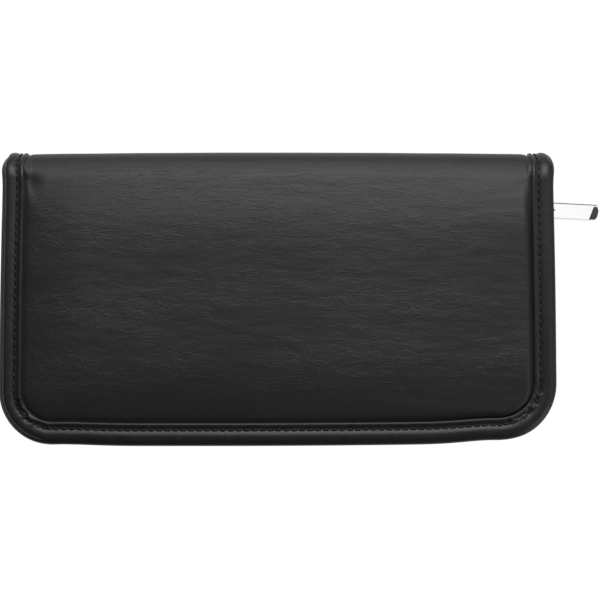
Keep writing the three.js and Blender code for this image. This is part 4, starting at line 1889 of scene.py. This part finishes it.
@dataclass(frozen=True)
class Pull:
    """Ring and tag that hang from the slider."""

    ring_radius: float = 1.9 * MM
    ring_inner: float = 1.5 * MM
    ring_outer: float = 4.6 * MM
    ring_wire: float = 0.5 * MM
    tag_length: float = 24 * MM
    tag_half: float = 3.65 * MM
    tag_slant: float = 0.9 * MM
    tag_crest: float = 1.1 * MM
    tag_thick: float = 1.5 * MM
    tag_edge: float = 0.5 * MM
    back_round: float = 2.4 * MM
    front_round: float = 3.4 * MM
    crest_round: float = 1.6 * MM
    last_round: float = 1.0 * MM
    last_back: float = 0.6 * MM
    tip_start: float = 20.1 * MM
    tip_lean: float = 1.3 * MM
    tip_stand: float = 0.06 * MM
    tip_sink: float = 0.1 * MM
    tip_margin: float = 0.35 * MM
    tip_bevel: float = 0.08 * MM
    tip_corner: float = 0.3 * MM
    tip_slant_back: float = 0.3 * MM
    tip_crest_back: float = 0.15 * MM
    tip_crest_down: float = 0.2 * MM
    tip_last_back: float = 0.9 * MM
    tip_front_round: float = 3.1 * MM
    tip_crest_round: float = 1.8 * MM
    tip_last_round: float = 0.8 * MM
    eye_hole: float = 1.5 * MM
    eye_round: float = 2.4 * MM
    droop: float = math.radians(22.295)

    def hang(self, joint: str) -> Matrix:
        """Place and slope of what hangs from a joint."""
        return Matrix.Translation(joint_place(joint)) @ Matrix.Rotation(self.droop, 4, "Y")

    def ring(self, metal: Material) -> Piece:
        """Bends the ring from round wire.

        Args:
            metal: its finish.

        Returns:
            The ring.
        """
        turn = np.linspace(-math.pi / 2, math.pi / 2, 14)
        radius = self.ring_radius
        far, near = self.ring_outer - radius, radius - self.ring_inner
        along = np.concatenate((far + radius * np.cos(turn), near - radius * np.cos(turn)))
        up = radius * np.concatenate((np.sin(turn), -np.sin(turn)))
        path = carried(points(along, 0, up), self.hang("ring_swing"))
        shape = Shape()
        shape.add_tube(path, self.ring_wire, 12, closed=True)
        return settle(shape.build("ring", metal), "ring", Slot.METAL, "pull_ring")

    def tag(self, metal: Material) -> Piece:
        """Builds the tag with its eye and slanted tip.

        Args:
            metal: its finish.

        Returns:
            The tag.
        """
        half, end = self.tag_half, self.tag_length
        outline = [
            (-self.eye_round, -half, self.back_round),
            (end - self.tag_slant, -half, self.front_round),
            (end, self.tag_crest, self.crest_round),
            (end - self.last_back, half, self.last_round),
            (-self.eye_round, half, self.back_round),
        ]
        thick = self.tag_thick / 2
        shape = Shape()
        body = Plate(rounded(outline, 12), -thick, thick, self.tag_edge)
        body.add_to(shape, self.hang("tag_swing"), self.eye_hole)
        return settle(shape.build("tag", metal), "tag", Slot.METAL, "pull_tag")

    def tip(self, reflection_paint: Material) -> Piece:
        """Builds the painted reflection: a thin dark sheet on both faces of the tag's tip, for the dark
        surround mirrored in its rounded end.

        Args:
            reflection_paint: dark finish of the painted reflection.

        Returns:
            The sheets of painted reflection.
        """
        half, end = self.tag_half, self.tag_length
        near_side, far_side = self.tip_margin - half, half - 3 * self.tip_margin
        corners = [
            (self.tip_start - self.tip_lean, near_side, self.tip_corner),
            (end - self.tag_slant - self.tip_slant_back, near_side, self.tip_front_round),
            (end - self.tip_crest_back, self.tag_crest - self.tip_crest_down, self.tip_crest_round),
            (end - self.tip_last_back, far_side, self.tip_last_round),
            (self.tip_start + self.tip_lean, far_side, self.tip_corner),
        ]
        sunk, stood = self.tag_thick / 2 - self.tip_sink, self.tag_thick / 2 + self.tip_stand
        shape = Shape()
        # Painted reflection, laid on both faces just proud of the metal.
        for low, high in ((sunk, stood), (-stood, -sunk)):
            Plate(rounded(corners, 10), low, high, self.tip_bevel).add_to(shape, self.hang("tag_swing"))
        return settle(shape.build("tag_tip_painted_reflection", reflection_paint), "tag", Slot.METAL)


@dataclass(frozen=True)
class Stop:
    """Metal clamp that ends the zip's teeth."""

    node: str
    half: Half
    bevel: float = 0.4 * MM
    bevel_share: float = 0.4
    corner: float = 0.35 * MM

    def build(self, metal: Material) -> Piece:
        """Builds the clamp, pressed round at its edges.

        Args:
            metal: its finish.

        Returns:
            The clamp.
        """
        low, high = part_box(self.node)
        outline = rounded(four_corners(low.xy, high.xy, self.corner))
        bevel = min(self.bevel, self.bevel_share * (high.z - low.z))
        shape = Shape()
        Plate(outline, low.z, high.z, bevel).add_to(shape, Matrix.Identity(4))
        return self.half.settle(shape.build(self.node + "_clamp", metal), Slot.METAL, self.node)


def dress_inside(back: Half, front: Half) -> list[Piece]:
    """Builds the pockets and the pen loop.

    Args:
        back: the half with the passport and card pockets.
        front: the half with the ticket pocket.

    Returns:
        The pieces.
    """
    leather = GrainedLeather("pocket_leatherette", crease_depth=0.1 * MM).make()
    thread = replace(Finish.THREAD.value, name="pocket_thread").make()
    thin = Panel("card_pocket_1", back, thick=0.45 * MM, swell=0.15 * MM, hem_rise=0.1 * MM)
    cards = [replace(thin, node=f"card_pocket_{order}") for order in range(1, 5)]
    sleeves = [Panel("passport_pocket", back, notch=9 * MM), Panel("ticket_pocket", front)]
    pieces = []
    for panel in (*sleeves, *cards):
        pieces += [panel.build(leather), panel.stitches(thread)]
    loop = PenLoop(back)
    elastic = WovenCloth("elastic", pitch=0.9 * MM).make()
    return pieces + [loop.build(elastic), loop.stitches(thread)]


def dress_zip(fold: Fold, back: Half, front: Half) -> list[Piece]:
    """Builds the zip with its slider, pull and stops.

    Args:
        fold: the covers' fold.
        back: the back half.
        front: the front half.

    Returns:
        The pieces.
    """
    metal = Finish.NICKEL.make()
    pieces = []
    for half in (back, front):
        zip_side = Zip(fold, half)
        pieces += [zip_side.tape(), zip_side.coil()]
    pull = Pull()
    pieces += [Slider(fold).build(metal), pull.ring(metal), pull.tag(metal)]
    # The tag's tip gets a painted reflection: a dark sheet for the mirrored dark surround.
    pieces.append(pull.tip(Finish.PAINTED_REFLECTION.make()))
    stops = (("zip_stop_right", back), ("zip_stop_left_back", back), ("zip_stop_left_front", front))
    return pieces + [Stop(node, half).build(metal) for node, half in stops]


# Studio


@dataclass(frozen=True)
class Lamp:
    """A soft rectangular lamp: its watts, its size, where it hangs and where it points."""

    name: str
    power: float
    size: Span
    place: Place
    target: Place

    def hang(self) -> None:
        """Adds the lamp to the scene."""
        data = bpy.data.lights.new(self.name, "AREA")
        data.shape = "RECTANGLE"
        data.size, data.size_y = self.size
        data.energy = self.power
        made = added(self.name, data)
        made.location = self.place
        way = Vector(self.target) - Vector(self.place)
        made.rotation_euler = way.to_track_quat("-Z", "Y").to_euler()


class Light(Enum):
    """The lamps of the studio."""

    KEY = Lamp("key", 1.66, (0.50, 0.30), (0.045, 0.33, 0.35), (0.02, 0.02, 0))
    SIDE = Lamp("side", 0.55, (0.36, 0.42), (0.8, 0.05, 0.66), (0.1, 0, 0))
    CORNER = Lamp("corner", 0.28, (0.3, 0.1), (0.45, -0.3, 0.16), (0.1, -0.05, 0.01))


@dataclass(frozen=True)
class Studio:
    """White ground, soft surround, lamps and the camera of the picture."""

    aim: Place = (9.6 * MM, -1.4 * MM, 24 * MM)
    distance: float = 0.83
    elevation: float = math.radians(86)
    frame_width: float = 257.9 * MM
    sensor: float = 36.0
    gloom: float = 0.045
    floor_size: float = 4.0
    floor_drop: float = 0.1 * MM
    floor_color: Color = (0.35, 0.35, 0.35)
    mirrored_floor: Span = (0.85, 0.25)
    floor_turn: Span = (0.10, 0.22)
    seen_floor: float = 1.02

    def ground(self) -> None:
        """Lays the floor, which looks white where it is seen and pale where it is mirrored."""
        bpy.ops.mesh.primitive_plane_add(size=self.floor_size, location=(0, 0, -self.floor_drop))
        floor = bpy.context.object
        floor.name = "floor"
        kit = NodeKit("floor_white", self.floor_color, 0.9)
        path = kit.node("ShaderNodeLightPath")
        shown = kit.shader.outputs[0]
        mirrored = kit.between(kit.axes()[1], *self.floor_turn, *self.mirrored_floor)
        for ray, strength in (("Is Glossy Ray", mirrored), ("Is Camera Ray", self.seen_floor)):
            glow = kit.node("ShaderNodeEmission")
            kit.feed(strength, glow.inputs["Strength"])
            mix = kit.node("ShaderNodeMixShader")
            for index, source in enumerate((path.outputs[ray], shown, glow.outputs[0])):
                kit.join(source, mix.inputs[index])
            shown = mix.outputs[0]
        kit.join(shown, kit.tree.nodes["Material Output"].inputs["Surface"])
        floor.data.materials.append(kit.material)

    def sky(self) -> None:
        """Sets a dim grey surround that looks white where it is seen."""
        world = bpy.data.worlds.new("studio")
        world.use_nodes = True
        bpy.context.scene.world = world
        tree = world.node_tree
        back = tree.nodes["Background"]
        back.inputs["Color"].default_value = (1, 1, 1, 1)
        path = tree.nodes.new("ShaderNodeLightPath")
        level = tree.nodes.new("ShaderNodeMapRange")
        level.inputs["To Min"].default_value = self.gloom
        level.inputs["To Max"].default_value = 1.0
        tree.links.new(path.outputs["Is Camera Ray"], level.inputs["Value"])
        tree.links.new(level.outputs[0], back.inputs["Strength"])

    def camera(self) -> None:
        """Sets the camera almost straight above the wallet."""
        data = bpy.data.cameras.new("camera")
        data.sensor_width = self.sensor
        data.lens = self.sensor * self.distance / self.frame_width
        made = added("camera", data)
        way = Vector((0, -math.cos(self.elevation), math.sin(self.elevation)))
        made.location = Vector(self.aim) + way * self.distance
        made.rotation_euler = (math.pi / 2 - self.elevation, 0, 0)
        bpy.context.scene.camera = made

    def build(self) -> None:
        """Sets the whole studio."""
        self.ground()
        self.sky()
        for light in Light:
            light.value.hang()
        self.camera()
        bpy.context.scene.view_settings.view_transform = "Standard"


def main() -> None:
    """Builds the wallet, piece by piece, and its studio."""
    logging.basicConfig(level=logging.INFO, format="%(name)s: %(message)s")
    fold = Fold.of_frame()
    binding = Binding(fold)
    back, front = Side.BACK.value, Side.FRONT.value
    pieces = [part.dress() for part in (Cover(fold), binding, Stitching(binding), Lining(fold))]
    card = Finish.BOARD.make()
    pieces += [Board(fold, half).build(card) for half in (back, front)]
    pieces += dress_zip(fold, back, front) + dress_inside(back, front)
    for made in pieces:
        log.info("%s: %d faces", made.name, len(made.data.polygons))
    Studio().build()


if __name__ == "__main__":
    main()
